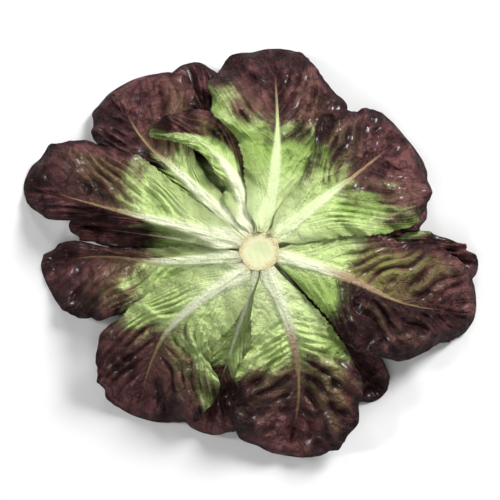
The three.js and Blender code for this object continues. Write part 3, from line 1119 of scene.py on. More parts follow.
@dataclass(frozen=True)
class OuterLeaf:
    """One leaf of those that spread round the stem, back up.

    Attributes:
        name: Its node in the frame.
        heading: Degrees round the stem at the foot.
        rib: Plan of the midrib after the foot.
        foot: Half width at the stem.
        left: Its left half, seen from the stem.
        right: Its right half.
        rank: How much of it shows.
        rib_tan: Share along the leaf where the midrib turns tan.
        pucker: Height of the pillows between side veins.
        pleats: Height of the folds across the rib.
        crinkle: Height of the uneven blisters.
        curl: How far the rim turns under.
        streaks: How far the red pigment runs along the veins.
        rise_length: How far out its stalk is raised towards the cut face.
        flare: How far its left and right margins spread near the foot.
        tuck: Share of the left half that is folded under.
        stout: Width of its rib against the others'.
        fan: Reach of the pale tissue beside the rib, in units of FAN_REACH.
        bleach: How white its rib is.
        sweep: How far its side veins arch towards the tip.
    """

    name: str
    heading: float
    rib: tuple[tuple[float, float], ...]
    foot: float
    left: HalfBlade
    right: HalfBlade
    rank: Rank = Rank.SHOWN
    rib_tan: float = 0.6
    pucker: float = 1.4
    pleats: float = 0.0
    crinkle: float = 1.6
    curl: float = 3.0
    streaks: float = 0.45
    rise_length: float = 18.0
    flare: tuple[float, float] = (3.0, 3.0)
    tuck: float = 0.0
    stout: float = 1.0
    fan: float = 2.2
    bleach: float = 1.0
    sweep: float = 0.56

    FOOT_RADIUS = 12.4
    FOOT_TOP = 71.7
    FOOT_INSET = (1.5, 0.012)
    FOOT_FLARE = (0.0, 0.07, 0.16, 0.36)
    FRAME_STEPS = 16
    FRAME_COLUMNS = 4
    FRAME_THICKNESS = 1.2
    FRAME_NEAR, FRAME_FAR = 0.02, 0.2
    COLUMN_BIAS = 1.1
    PETIOLE = 1.6
    RIB_HEIGHT = (2.4, 0.6)
    RIB_HALF_WIDTH = (3.6, 1.3)
    BAND = (4.3, 0.8, 0.22, 0.8)
    BAND_FOOT = (1.35, 0.2)
    THICKNESS = (0.95, 0.55)
    LOWEST = 0.15
    ROOM = (0.25, 1.6)
    ROOM_REACH = (0.08, 0.25, 0.6, 0.85)
    VEIN_ARCH = 1.4
    VEIN_WANDER = (0.34, 36.0)
    VEIN_RADIUS = (0.26, 0.08)
    PLEATS, PLEATS_AT, PLEATS_SPREAD, PLEATS_REACH = 26.0, 0.42, 0.1, 17.0
    TEETH, TEETH_DEPTH = 42.0, 1.5
    TEETH_REACH = (0.1, 0.2, 0.42, 0.6)
    MARGIN_LENGTH = 130.0
    TUCK_DROP = 14.0
    FAN_REACH = 6.0

    @property
    def outward(self) -> np.ndarray:
        """Unit direction from the stem at the foot."""
        turn = math.radians(self.heading)
        return np.array([math.cos(turn), math.sin(turn)])

    def plan(self) -> BladePlan:
        """Lays out the plan about the stem's axis.

        Returns:
            The plan.
        """
        side = np.array([-self.outward[1], self.outward[0]])
        widths = ([self.foot, *half.widths] for half in (self.left, self.right))
        return BladePlan(np.array([self.FOOT_RADIUS * self.outward, *self.rib]), side, *widths)

    def frame_thickness(self, u: np.ndarray, away: np.ndarray) -> np.ndarray:
        """Thickness of the frame's blade, at shares along it and distances from its rib."""
        return self.FRAME_THICKNESS + self.PETIOLE * hump(away, lerp(*self.RIB_HALF_WIDTH, u)) * (1 - u) ** 2

    def band(self, u: np.ndarray) -> np.ndarray:
        """Half width of the pale band along the rib.

        Args:
            u: Shares along.

        Returns:
            Half widths, wide near the foot and narrow near the tip.
        """
        wide, narrow, start, end = self.BAND
        foot, reach = self.BAND_FOOT
        taper = lerp(wide, narrow, smoothstep(start, end, u))
        return self.stout * taper * lerp(foot, 1.0, smoothstep(0.0, reach, u))

    def rib_share(self, grid: BladeGrid) -> np.ndarray:
        """How much of the raised midrib is at each place."""
        return np.exp(-((grid.away / (0.85 * self.band(grid.u))) ** 4))

    def frame_surface(self, plan: BladePlan, axis: np.ndarray, u: np.ndarray, v: np.ndarray) -> np.ndarray:
        """Heights of the frame's blade, without its rib, read smoothly between its points.

        Args:
            plan: The leaf's plan.
            axis: The stem's axis in the frame.
            u: Shares along, rising.
            v: Shares across, rising.

        Returns:
            A grid of heights, a row for each u.
        """
        steps = np.linspace(0.0, 1.0, self.FRAME_STEPS + 1)
        column = np.arange(-self.FRAME_COLUMNS, self.FRAME_COLUMNS + 1)
        along, sides = np.meshgrid(steps, column.astype(float), indexing="ij")
        half_width = plan.place(along, sides)[1]
        edge = np.minimum(0.5, lerp(*self.RIB_HALF_WIDTH, along) / half_width)
        share = lerp(edge, 1.0, (np.abs(sides) - 1) / (self.FRAME_COLUMNS - 1))
        across = np.where(sides == 0, 0.0, np.sign(sides) * share)
        places, half_width = plan.place(along, across)
        corners = frame_points(self.name) - np.append(axis, 0.0)
        gap = np.linalg.norm(places.reshape(-1, 1, 2) - corners[None, :, :2], axis=2)
        near = gap < gap.min(axis=1, keepdims=True) + self.FRAME_NEAR
        low = np.where(near, corners[None, :, 2], np.inf).min(axis=1).reshape(along.shape)
        if gap.min(axis=1).max() > self.FRAME_FAR:
            LOG.warning("%s: its plan is %.2f mm off the frame", self.name, gap.min(axis=1).max())
        surface = low + self.frame_thickness(along, across * half_width)
        rows = [between_knots(knots, row[:, None], v)[:, 0] for knots, row in zip(across, surface)]
        return between_knots(steps, np.array(rows), u)

    def grid(self, plan: BladePlan, along: np.ndarray, across: np.ndarray, seed: int) -> BladeGrid:
        """Lays out the blade's grid, with side veins that arch towards the tip and wander.

        Args:
            plan: The leaf's plan.
            along: Shares along.
            across: Shares across.
            seed: Fixes what is random.

        Returns:
            The grid.
        """
        u, v = np.meshgrid(along, across, indexing="ij")
        xy, half_width = plan.place(u, v)
        sweep = self.sweep * np.abs(v) ** self.VEIN_ARCH
        grid = BladeGrid(u, v, (u - sweep) / (1 - sweep), xy, half_width, seed)
        far, length = self.VEIN_WANDER
        wander = far / self.rank.veins * grid.noise(length, 1) * (1 - grid.join)
        return BladeGrid(u, v, grid.w + wander, xy, half_width, seed)

    def relief(self, grid: BladeGrid) -> np.ndarray:
        """Pillows, pleats, blisters, frills and the curled rim, above the frame's surface.

        Args:
            grid: The blade's grid.

        Returns:
            Heights.
        """
        u, s, away = grid.u, grid.s, grid.away
        off_rib = smoothstep(2.0, 9.0, away)
        outer = smoothstep(0.15, 0.5, u)
        swell = np.sin(np.pi * np.clip(s, 0, 1) ** 0.75)
        pillows = 2.1 * np.abs(np.cos(math.pi * self.rank.veins * grid.w)) ** 0.75 - 1.3
        uneven = np.clip(0.8 + 0.6 * grid.noise(24.0, 9), 0.25, 1.5)
        pillows *= swell * off_rib * lerp(0.15, 1.0, outer) * uneven
        pleats = np.cos(u * math.tau * self.PLEATS) * hump(u - self.PLEATS_AT, self.PLEATS_SPREAD)
        pleats *= hump(away, self.PLEATS_REACH)
        blisters = 0.8 - 1.8 * np.abs(grid.noise(34.0, 2)) ** 0.75
        blisters += 0.5 - 1.0 * np.abs(grid.noise(15.0, 3)) ** 0.8
        broad = 2.0 * grid.noise(48.0, 4) * outer * off_rib
        frill = ripple(u * self.MARGIN_LENGTH, s * 3.0, 10.0, grid.seed + 5) * s**5 * smoothstep(0.05, 0.3, u)
        rim = smoothstep(0.80, 1.0, s) ** 2 * smoothstep(0.3, 0.62, u)
        return (
            self.pucker * pillows
            + self.pleats * pleats * off_rib
            + self.crinkle * blisters * off_rib * outer
            + broad
            + 1.5 * frill
            - self.curl * rim
        )

    def folded(self, grid: BladeGrid) -> np.ndarray:
        """How far each place of the tucked half is folded under."""
        reach = smoothstep(0.25, 1.0, grid.s) * smoothstep(0.15, 0.4, grid.u)
        return self.tuck * reach * (grid.v < 0) * (1 - grid.join)

    def heights(self, grid: BladeGrid, surface: np.ndarray) -> np.ndarray:
        """Adds the raised rib, the rise to the cut face and the tucked half to a surface.

        Args:
            grid: The blade's grid.
            surface: Heights of the blade with its relief.

        Returns:
            Heights.
        """
        u, near = grid.u, self.rib_share(grid)
        strands = 0.15 * np.cos(math.tau * 1.5 * grid.away / self.band(u)) * near
        strands *= 1 - smoothstep(0.25, 0.6, u)
        height = grid.joined(surface) + lerp(*self.RIB_HEIGHT, u) * near + strands
        if self.rise_length:
            out = np.maximum(np.linalg.norm(grid.xy, axis=-1) - self.FOOT_RADIUS, 0.0)
            height += (self.FOOT_TOP - height[0, self.rank.columns]) * np.exp(-out / self.rise_length)
        return height - self.TUCK_DROP * self.folded(grid)

    def spread(self, plan: BladePlan, grid: BladeGrid) -> np.ndarray:
        """Gives the plan teeth near the foot, an uneven margin, a flared foot and the tucked half.

        Args:
            plan: The leaf's plan.
            grid: The blade's grid.

        Returns:
            The new plan.
        """
        u, s, seed = grid.u, grid.s, grid.seed
        teeth = np.abs((u * self.TEETH + 0.3 * np.sin(u * 90.0)) % 1.0 - 0.5) * 2.0 - 0.5
        edge = (u * self.MARGIN_LENGTH, np.sign(grid.v) * 40.0)
        ragged = ripple(*edge, 15.0, seed + 8) + 0.2 * ripple(*edge, 5.0, seed + 10)
        uneven = teeth * self.TEETH_DEPTH * window(self.TEETH_REACH, u) + ragged * smoothstep(0.2, 0.5, u)
        broad_foot = grid.halves(*self.flare) * s**2 * window(self.FOOT_FLARE, u)
        shift = uneven * s**6 * (1 - grid.join) + broad_foot - self.folded(grid) * grid.away
        away = grid.xy - plan.place(u, np.zeros_like(u))[0]
        away /= np.maximum(np.linalg.norm(away, axis=-1, keepdims=True), 1e-6)
        deep, length = self.FOOT_INSET
        return grid.xy + away * shift[..., None] - deep * np.exp(-u / length)[..., None] * self.outward

    def blush(self, grid: BladeGrid, side: int) -> np.ndarray:
        """Share of red pigment as on one half, in streaks along the veins.

        Args:
            grid: The blade's grid.
            side: 0 for the left half, 1 for the right one.

        Returns:
            Shares over the whole blade.
        """
        half, seed = (self.left, self.right)[side], grid.seed + 20 * side
        turn = lerp(half.turn_rib, half.turn_margin, grid.s)
        streaks = 0.4 * ripple(grid.w * 150.0, grid.away * 0.5, 14.0, seed + 6)
        streaks += 0.8 * ripple(grid.u * 140.0, grid.away, 20.0, seed + 7)
        return smoothstep(-1.5, 1.5, (grid.u - turn) / half.soft + self.streaks * streaks)

    def layers(self, grid: BladeGrid, relief: np.ndarray, facing: np.ndarray) -> dict[str, np.ndarray]:
        """What the finish reads from the mesh.

        Args:
            grid: The blade's grid.
            relief: Heights of the relief.
            facing: Normals of the upper face.

        Returns:
            Values by layer name.
        """
        u, s, away = grid.u, grid.s, grid.away
        olive = grid.halves(self.left.olive, self.right.olive)
        rib = (1 - smoothstep(0.5, 1.2, away / self.band(u))) * (1 - smoothstep(0.8, 0.98, u))
        fan = 0.85 * hump(away, self.fan * self.FAN_REACH) * (1 - smoothstep(0.1, 0.44, u))
        pale = np.maximum(fan, rib * (1 - smoothstep(0.45, 0.8, u))) * lerp(1.0, self.bleach, rib)
        tan = smoothstep(self.rib_tan - 0.14, self.rib_tan + 0.1, u)
        # Painted light and shade: lighter on the relief's crests, darker in its dents, and darker again by
        # each half's painted shade.
        crest = 0.5 + relief / (1.4 * (self.pucker + self.crinkle))
        return grid.layers() | {
            "blush": grid.joined(grid.halves(self.blush(grid, 0), self.blush(grid, 1))),
            "olive": olive * (1 - smoothstep(0.5, 0.88, np.maximum(u, s * 0.92))),
            "pale": np.clip(pale, 0, 1),
            "rib": np.clip(rib, 0, 1),
            "tan": np.maximum(tan, 0.3 * (1 - smoothstep(0.0, 0.04, u))),
            "crest": np.clip(crest - 0.8 * grid.halves(self.left.painted_shade, self.right.painted_shade), 0, 1),
            "level": smoothstep(0.76, 0.92, facing[..., 2]),
        }

    def build(
        self, axis: np.ndarray, lay: LayMap, skin: Material, cords: VeinCords, seed: int
    ) -> list[Object]:
        """Makes the blade and its raised veins.

        Args:
            axis: The stem's axis in the frame.
            lay: Heights of the leaves below it.
            skin: Finish of the blade.
            cords: Maker of the raised veins.
            seed: Fixes what is random.

        Returns:
            The blade's object and its veins' object.
        """
        along = np.linspace(0.0, 1.0, self.rank.rows + 1)
        across = np.linspace(-1.0, 1.0, 2 * self.rank.columns + 1)
        across = np.sign(across) * np.abs(across) ** self.COLUMN_BIAS
        plan = self.plan()
        grid = self.grid(plan, along, across, seed)
        relief = self.relief(grid)
        height = self.heights(grid, self.frame_surface(plan, axis, along, across) + relief)
        upper = np.dstack([self.spread(plan, grid) + axis, height])
        u, s = grid.u, grid.s
        thick = lerp(*self.THICKNESS, s) + self.PETIOLE * self.rib_share(grid) * (1 - u) ** 2
        room = self.ROOM[0] + self.ROOM[1] * s**3 * window(self.ROOM_REACH, u)
        lift = lay.lift(upper - np.array([0.0, 0.0, 1.0]) * thick[..., None], room)
        upper[..., 2] = np.maximum(upper[..., 2] + lift * smoothstep(0.0, 0.06, u), self.LOWEST + thick)
        close_tip(upper)
        facing = normals(upper)
        lower = upper - facing * thick[..., None]
        lower[..., 2] = np.maximum(lower[..., 2], self.LOWEST)
        close_tip(lower)
        lay.cover(upper)
        layers = self.layers(grid, relief, facing)
        blade = BladeSheet(upper, lower, layers).piece(self.name, skin)
        return [blade, self.veins(along, upper, layers, cords)]

    def veins(
        self, along: np.ndarray, upper: np.ndarray, layers: dict[str, np.ndarray], cords: VeinCords
    ) -> Object:
        """Raises cords along the side veins.

        Args:
            along: Share along of each row.
            upper: Points of the upper face.
            layers: Layers of the blade.
            cords: Their maker.

        Returns:
            The object.
        """
        columns, rows, count = self.rank.columns, self.rank.rows, self.rank.veins
        sides = (np.arange(columns - 2, 2, -1), np.arange(columns + 2, 2 * columns - 2))
        lines, found = [], {VeinCords.RADIUS_LAYER: [], "blush": [], "pale": []}
        for k, side in ((k, side) for k in range(1, count - 1) for side in sides):
            w = layers["along"][:, side]
            place = np.array([np.interp((k + 0.5) / count, w[:, j], along) for j in range(len(side))])
            row = np.clip(place * rows, 0, rows - 1.001)
            low, part = row.astype(int), row % 1.0
            blush = lerp(layers["blush"][low, side], layers["blush"][low + 1, side], part)
            line = lerp(upper[low, side], upper[low + 1, side], part[:, None])
            radius = lerp(*self.VEIN_RADIUS, np.abs(layers["across"][low, side])) * lerp(0.4, 1.0, blush)
            line[:, 2] -= 0.45 * radius
            lines.append(line)
            for values, here in zip(found.values(), (radius, blush, layers["pale"][low, side])):
                values.append(here)
        return cords.piece(f"{self.name}_veins", lines, found)


@dataclass(frozen=True)
class HeartRing:
    """A ring of heart leaves on a bell round the stem's tip.

    Attributes:
        level: Number of the ring, from outside.
        leaves: How many leaves it has.
        turn: Degrees of its first leaf.
        radius: Radius of the bell.
        foot: Distance from the axis and height where its leaves meet the stem.
        flare: Reach of their tips as a share of the radius.
        tip: Height of their tips.
        width: Half width of a leaf at its widest.
    """

    level: int
    leaves: int
    turn: float
    radius: float
    foot: tuple[float, float]
    flare: float
    tip: float
    width: float

    BELL = ((0.6, 0.95), (0.93, 0.56), (1.0, 0.22))
    OUTLINE = (0.3, 0.62, 0.9, 1.0, 0.82)
    FOOT_HALF_WIDTH = 3.0
    THICKNESS = (0.9, 0.5)
    LOWEST = 0.05
    RIB = (1.6, 0.4)
    RIB_HALF_WIDTH = 2.6
    WAVE = 2.2
    WAVES = 3
    LAST_VEIN = 0.85
    BLUSH_REACH = (0.80, 0.98)

    def bell(self) -> Curve:
        """Draws the section of the bell.

        Returns:
            A curve of distance from the axis and height.
        """
        drop = self.foot[1] - self.tip
        shares = (*self.BELL, (self.flare, 0.0))
        points = [self.foot, *((r * self.radius, self.tip + drop * h) for r, h in shares)]
        return Curve(np.array(points), Through.UNIFORM)

    def grid(self, order: int, length: float) -> BladeGrid:
        """Lays out the grid of one leaf, unrolled from the bell.

        Args:
            order: Its number in the ring, from 0.
            length: Length of the bell's section.

        Returns:
            The grid.
        """
        rib = np.array([[x, 0.0] for x in (0.0, length / 2, length)])
        widths = [self.FOOT_HALF_WIDTH, *(share * self.width for share in self.OUTLINE)]
        plan = BladePlan(rib, np.array([0.0, 1.0]), widths, widths)
        rows, columns = Rank.HEART.rows, Rank.HEART.columns
        u, v = np.meshgrid(np.linspace(0, 1, rows + 1), np.linspace(-1, 1, 2 * columns + 1), indexing="ij")
        return BladeGrid(u, v, u, *plan.place(u, v), 500 + 20 * self.level + order, self.LAST_VEIN)

    def relief(self, grid: BladeGrid) -> np.ndarray:
        """Blisters, pillows and frills above the bell.

        Args:
            grid: The leaf's grid.

        Returns:
            Heights.
        """
        u, s = grid.u, grid.s
        blisters = 0.7 * grid.noise(13.0, 0) + 0.25 * grid.noise(5.0, 1)
        pillows = 0.35 * np.cos(math.tau * Rank.HEART.veins * u) * np.sin(np.pi * s)
        frill = 1.3 * ripple(u * 90.0, np.sign(grid.v) * 30.0, 9.0, grid.seed + 2) * s**4 * u
        off_rib = smoothstep(1.5, 7.0, grid.away)
        return grid.joined((blisters * off_rib * smoothstep(0.05, 0.3, u) + pillows) * 0.8 + frill)

    def layers(self, grid: BladeGrid, relief: np.ndarray) -> dict[str, np.ndarray]:
        """What the finish reads from the mesh.

        Args:
            grid: The leaf's grid.
            relief: Heights of the relief.

        Returns:
            Values by layer name.
        """
        u, s, away = grid.u, grid.s, grid.away
        edge = 0.55 * u + 0.5 * s * smoothstep(0.25, 0.6, u)
        edge += 0.08 * ripple(u * 70, away, 12.0, grid.seed + 3)
        reach = lerp(*self.BLUSH_REACH, (self.level - 1) / 4)
        return grid.layers() | {
            "blush": smoothstep(reach - 0.14, reach + 0.12, edge),
            "olive": np.full_like(u, 0.3),
            "pale": np.clip(1.05 - 1.5 * u + 0.12 * (self.level - 1), 0, 0.9) * hump(away, 12.0),
            "rib": hump(away, self.RIB_HALF_WIDTH) * (1 - smoothstep(0.75, 0.95, u)),
            "tan": 0.25 * smoothstep(0.6, 0.9, u),
            # Painted light and shade: lighter where the relief rises, darker where it sinks.
            "crest": np.clip(0.5 + 0.35 * relief, 0, 1),
            "level": np.zeros_like(u),
        }

    def build(self, order: int, axis: np.ndarray, lay: LayMap, skin: Material) -> Object:
        """Makes one leaf of the ring.

        Args:
            order: Its number in the ring, from 0.
            axis: The stem's axis in the frame.
            lay: Heights that the outer leaves lie on.
            skin: Its finish.

        Returns:
            The object.
        """
        bell = self.bell()
        grid = self.grid(order, bell.length)
        u = grid.u
        share = np.clip(grid.xy[..., 0] / bell.length, 0, 1).ravel()
        on_bell, along = (read(share).reshape(*u.shape, 2) for read in (bell.along, bell.heading))
        turn = math.radians(self.turn) + math.tau * order / self.leaves + grid.xy[..., 1] / on_bell[..., 0]
        relief = self.relief(grid)
        wave = self.WAVE * u * grid.v**2 * np.sin(math.tau * self.WAVES * u + order + self.level - 1)
        thick = lerp(*self.THICKNESS, grid.s) + lerp(*self.RIB, u) * hump(grid.away, self.RIB_HALF_WIDTH)
        faces = []
        for lift in (np.zeros_like(u), thick):
            height = wave + relief + lift
            out = on_bell[..., 0] - along[..., 1] * height
            up = np.maximum(on_bell[..., 1] + along[..., 0] * height, self.LOWEST + lift)
            faces.append(np.dstack([axis[0] + out * np.cos(turn), axis[1] + out * np.sin(turn), up]))
            close_tip(faces[-1])
        lower, upper = faces
        lay.cover(upper)
        name = f"leaf_heart_{self.level}_{order + 1}"
        return BladeSheet(upper, lower, self.layers(grid, relief)).piece(name, skin)


@dataclass(frozen=True)
class Stem:
    """The tapered stem with its cut face up.

    Attributes:
        node: Its node in the frame.
        height: Height of the cut face.
        profile: Radius and depth below the cut face, from its rim to the growing tip.
        lobes: Flutes round it.
        flute: Their depth as a share of the radius.
        sides: Cells round it.
        face_rings: Rings of cells on the cut face.
        side_rings: Rings of points on the side.
        dish: How far the cut face sinks.
        rough: Height of the cut face's roughness.
        scars: Height of the side's roughness.
        bundles: How many vascular bundles show on the cut face.
        bundle_ring: Radius of their ring.
        bundle_radius: Radius of one.
        bundle_depth: How far their middles lie below the cut face.
        bundle_jitter: How far they stray from their ring.
        bundle_scales: Smallest and largest scale of one.
        bundle_seeds: Fix their scales and how they stray.
    """

    node: str = "stem"
    height: float = 72.0
    profile: tuple[tuple[float, float], ...] = (
        (11.4, 0.0), (12.0, 1.2), (11.6, 10.0), (10.4, 26.0),
        (9.4, 33.0), (7.9, 38.0), (5.2, 43.0), (0.0, 47.0),
    )
    lobes: int = 5
    flute: float = 0.04
    sides: int = 120
    face_rings: int = 26
    side_rings: int = 70
    dish: float = 0.35
    rough: float = 0.05
    scars: float = 0.22
    bundles: int = 64
    bundle_ring: float = 10.3
    bundle_radius: float = 0.5
    bundle_depth: float = 0.18
    bundle_jitter: float = 0.9
    bundle_scales: tuple[RGB, RGB] = ((0.6, 0.6, 0.22), (1.2, 1.2, 0.4))
    bundle_seeds: tuple[int, int] = (7, 64)

    def axis(self) -> np.ndarray:
        """Plan place of the stem's axis in the frame, which its growing tip is on."""
        points = frame_points(self.node)
        return points[points[:, 2].argmin(), :2]

    def section(self) -> tuple[np.ndarray, np.ndarray]:
        """Draws its section from the middle of the cut face, over the rim, to the growing tip.

        Returns:
            Radii and heights.
        """
        rim = self.profile[0][0]
        face = np.linspace(0.0, rim, self.face_rings)
        dish = -self.dish * np.cos(math.pi * np.clip(face / rim, 0, 1)) - self.dish
        side = Curve(np.array(self.profile)).at(np.linspace(0.0, 1.0, self.side_rings))[1:]
        radius = np.concatenate([face, np.maximum(side[:, 0], 0.0)])
        height = np.concatenate([self.height + dish * (1 - face / rim), self.height - side[:, 1]])
        return radius, height

    def build(self, flesh: Material) -> Object:
        """Makes the stem.

        Args:
            flesh: Its finish.

        Returns:
            The object.
        """
        radius, height = self.section()
        turn = np.linspace(0.0, math.tau, self.sides, endpoint=False)
        ring, around = np.meshgrid(np.arange(1, len(radius) - 1), turn, indexing="ij")
        out = radius[ring] * (1 - self.flute * (1 + np.cos(self.lobes * around)) / 2)
        x, y = out * np.cos(around), out * np.sin(around)
        on_face = ring < self.face_rings
        z = height[ring] + np.where(on_face, self.rough * ripple(x, y, 4.2, 71) - 3 * self.rough, 0.0)
        scars = np.where(on_face, 0.0, self.scars * ripple(around * 12.0, height[ring], 5.0, 73))
        x, y = x + scars * np.cos(around), y + scars * np.sin(around)
        axis = self.axis()
        points = np.dstack([x + axis[0], y + axis[1], z]).reshape(-1, 3)
        ends = np.array([[*axis, height[0]], [*axis, height[-1]]])
        grid = np.arange(ring.size).reshape(ring.shape)
        ahead = np.roll(grid, -1, axis=1)
        quads = np.stack([grid[:-1], grid[1:], ahead[1:], ahead[:-1]], axis=-1).reshape(-1, 4)
        first = [(ring.size, a, b) for a, b in zip(grid[0], ahead[0])]
        last = [(ring.size + 1, b, a) for a, b in zip(grid[-1], ahead[-1])]
        share = np.where(on_face, radius[ring] / self.profile[0][0], 1.0).ravel()
        layers = {"out": np.append(share, [0.0, 1.0])}
        faces = [*quads.tolist(), *first, *last]
        return smooth_piece(self.node, np.concatenate([points, ends]), faces, layers, flesh)

    def bundles_piece(self, finish: Material) -> Object:
        """Makes the ring of vascular bundles that shows on the cut face.

        Args:
            finish: Their finish.

        Returns:
            The object.
        """
        name = f"{self.node}_bundles"
        graph, given, named = geometry_tree(
            "Vascular ring",
            {
                "Count": (INT, self.bundles),
                "Ring radius": (FLOAT, self.bundle_ring * MM),
                "Bundle radius": (FLOAT, self.bundle_radius * MM),
                "Middle": (VECTOR, None),
                "Seed": (INT, self.bundle_seeds[0]),
                "Jitter seed": (INT, self.bundle_seeds[1]),
                "Finish": (MATERIAL, None),
            },
        )
        stray = self.bundle_jitter * MM
        spans = {"Seed": self.bundle_scales, "Jitter seed": ((-stray, -stray, 0.0), (stray, stray, 0.0))}
        kind = "FLOAT_VECTOR"
        size, jitter = (
            graph.add("FunctionNodeRandomValue", {0: low, 1: high, "Seed": given[seed]}, data_type=kind)
            for seed, (low, high) in spans.items()
        )
        circle = {"Vertices": given["Count"], "Radius": given["Ring radius"]}
        ring = graph.add("GeometryNodeMeshCircle", circle)
        dot = graph.add("GeometryNodeMeshIcoSphere", {"Radius": given["Bundle radius"], "Subdivisions": 2})
        strayed = {"Geometry": ring.outputs[0], "Offset": jitter.outputs[0]}
        points = graph.add("GeometryNodeSetPosition", strayed).outputs[0]
        copies = {"Points": points, "Instance": dot.outputs["Mesh"], "Scale": size.outputs[0]}
        dots = graph.add("GeometryNodeInstanceOnPoints", copies).outputs[0]
        there = graph.add("GeometryNodeTransform", {"Geometry": dots, "Translation": given["Middle"]})
        close_tree(graph, there.outputs[0], given["Finish"])
        middle = np.append(self.axis(), self.height - self.bundle_depth) * MM
        values = {named["Middle"]: middle.tolist(), named["Finish"]: finish, named["Count"]: self.bundles}
        return grown(name, bpy.data.meshes.new(name), graph.tree, values)


@dataclass(frozen=True)
class SoftLight:
    """A square light that faces the head.

    Attributes:
        name: Its name.
        place: Where it stands, in metres.
        side: Length of its face, in metres.
        power: Watts.
        unseen: Rays that it is hidden from.
    """

    name: str
    place: tuple[float, float, float]
    side: float
    power: float
    unseen: Ray | None = None

    def build(self, target: Vector) -> None:
        """Makes the light.

        Args:
            target: Where it faces.
        """
        lamp = bpy.data.lights.new(self.name, "AREA")
        lamp.size, lamp.energy = self.side, self.power
        made = linked(self.name, lamp)
        made.location = self.place
        made.rotation_mode = "QUATERNION"
        made.rotation_quaternion = (made.location - target).to_track_quat("Z", "Y")
        if self.unseen:
            setattr(made, self.unseen.value, False)


@dataclass(frozen=True)
class Studio:
    """Pale floor, soft lights and the camera straight above, in metres."""

    floor_side: float = 6.0
    floor_tones: tuple[float, float] = (0.82, 0.84)
    floor_roughness: float = 0.9
    floor_specular: float = 0.1
    lens: float = 200.0
    sensor: float = 36.0
    field: float = 0.300
    look_at: tuple[float, float, float] = (-0.0006, 0.0016, 0.030)
    sky: float = 0.1
    lights: tuple[SoftLight, ...] = (
        SoftLight("key", (1.08, 1.28, 1.40), 0.70, 57.0),
        SoftLight("back", (-0.25, 1.35, 1.40), 0.30, 5.0),
        SoftLight("left", (-1.25, 0.30, 1.35), 0.25, 9.0),
        SoftLight("overhead", (-0.15, -0.55, 2.00), 1.4, 11.5, Ray.GLOSSY),
        SoftLight("glint", (-0.85, -0.95, 1.45), 0.30, 14.0, Ray.DIFFUSE),
    )

    def floor(self) -> None:
        """Makes the floor."""
        half = self.floor_side / 2
        corners = [(-half, -half, 0), (half, -half, 0), (half, half, 0), (-half, half, 0)]
        mesh = bpy.data.meshes.new("floor")
        mesh.from_pydata(corners, [], [(0, 1, 2, 3)])
        paper, graph, skin, place = new_skin("white paper")
        tones = ((tone, tone, tone) for tone in self.floor_tones)
        graph.fill(
            skin,
            {
                "Base Color": graph.blend(graph.noise(place, 3.0), *tones),
                "Roughness": self.floor_roughness,
                "Specular IOR Level": self.floor_specular,
            },
        )
        mesh.materials.append(paper)
        linked("floor", mesh)

    def camera(self) -> None:
        """Makes the camera, straight above with the picture's up along +Y."""
        data = bpy.data.cameras.new("camera")
        data.lens, data.sensor_width = self.lens, self.sensor
        made = linked("camera", data)
        x, y, z = self.look_at
        made.location = (x, y, z + self.field * self.lens / self.sensor)
        bpy.context.scene.camera = made

    def build(self) -> None:
        """Makes the floor, the lights and the camera."""
        self.floor()
        for light in self.lights:
            light.build(Vector(self.look_at))
        world = bpy.data.worlds.new("studio")
        world.use_nodes = True
        sky = {"Color": (1.0, 1.0, 1.0, 1.0), "Strength": self.sky}
        Graph(world.node_tree).fill(world.node_tree.nodes["Background"], sky)
        bpy.context.scene.world = world
        self.camera()
        bpy.context.scene.view_settings.view_transform = "Standard"


HEART_RINGS = (
    HeartRing(1, 4, 25.0, 64.0, (11.0, 44.0), 1.17, -6.0, 43.0),
    HeartRing(2, 4, 70.0, 53.0, (10.4, 39.5), 1.08, 3.0, 33.0),
    HeartRing(3, 3, 40.0, 42.0, (9.2, 35.0), 1.08, 4.0, 38.0),
    HeartRing(4, 3, 100.0, 31.0, (7.6, 31.0), 1.08, 4.0, 29.0),
    HeartRing(5, 2, 60.0, 20.0, (5.3, 27.5), 1.05, 6.0, 22.0),
)
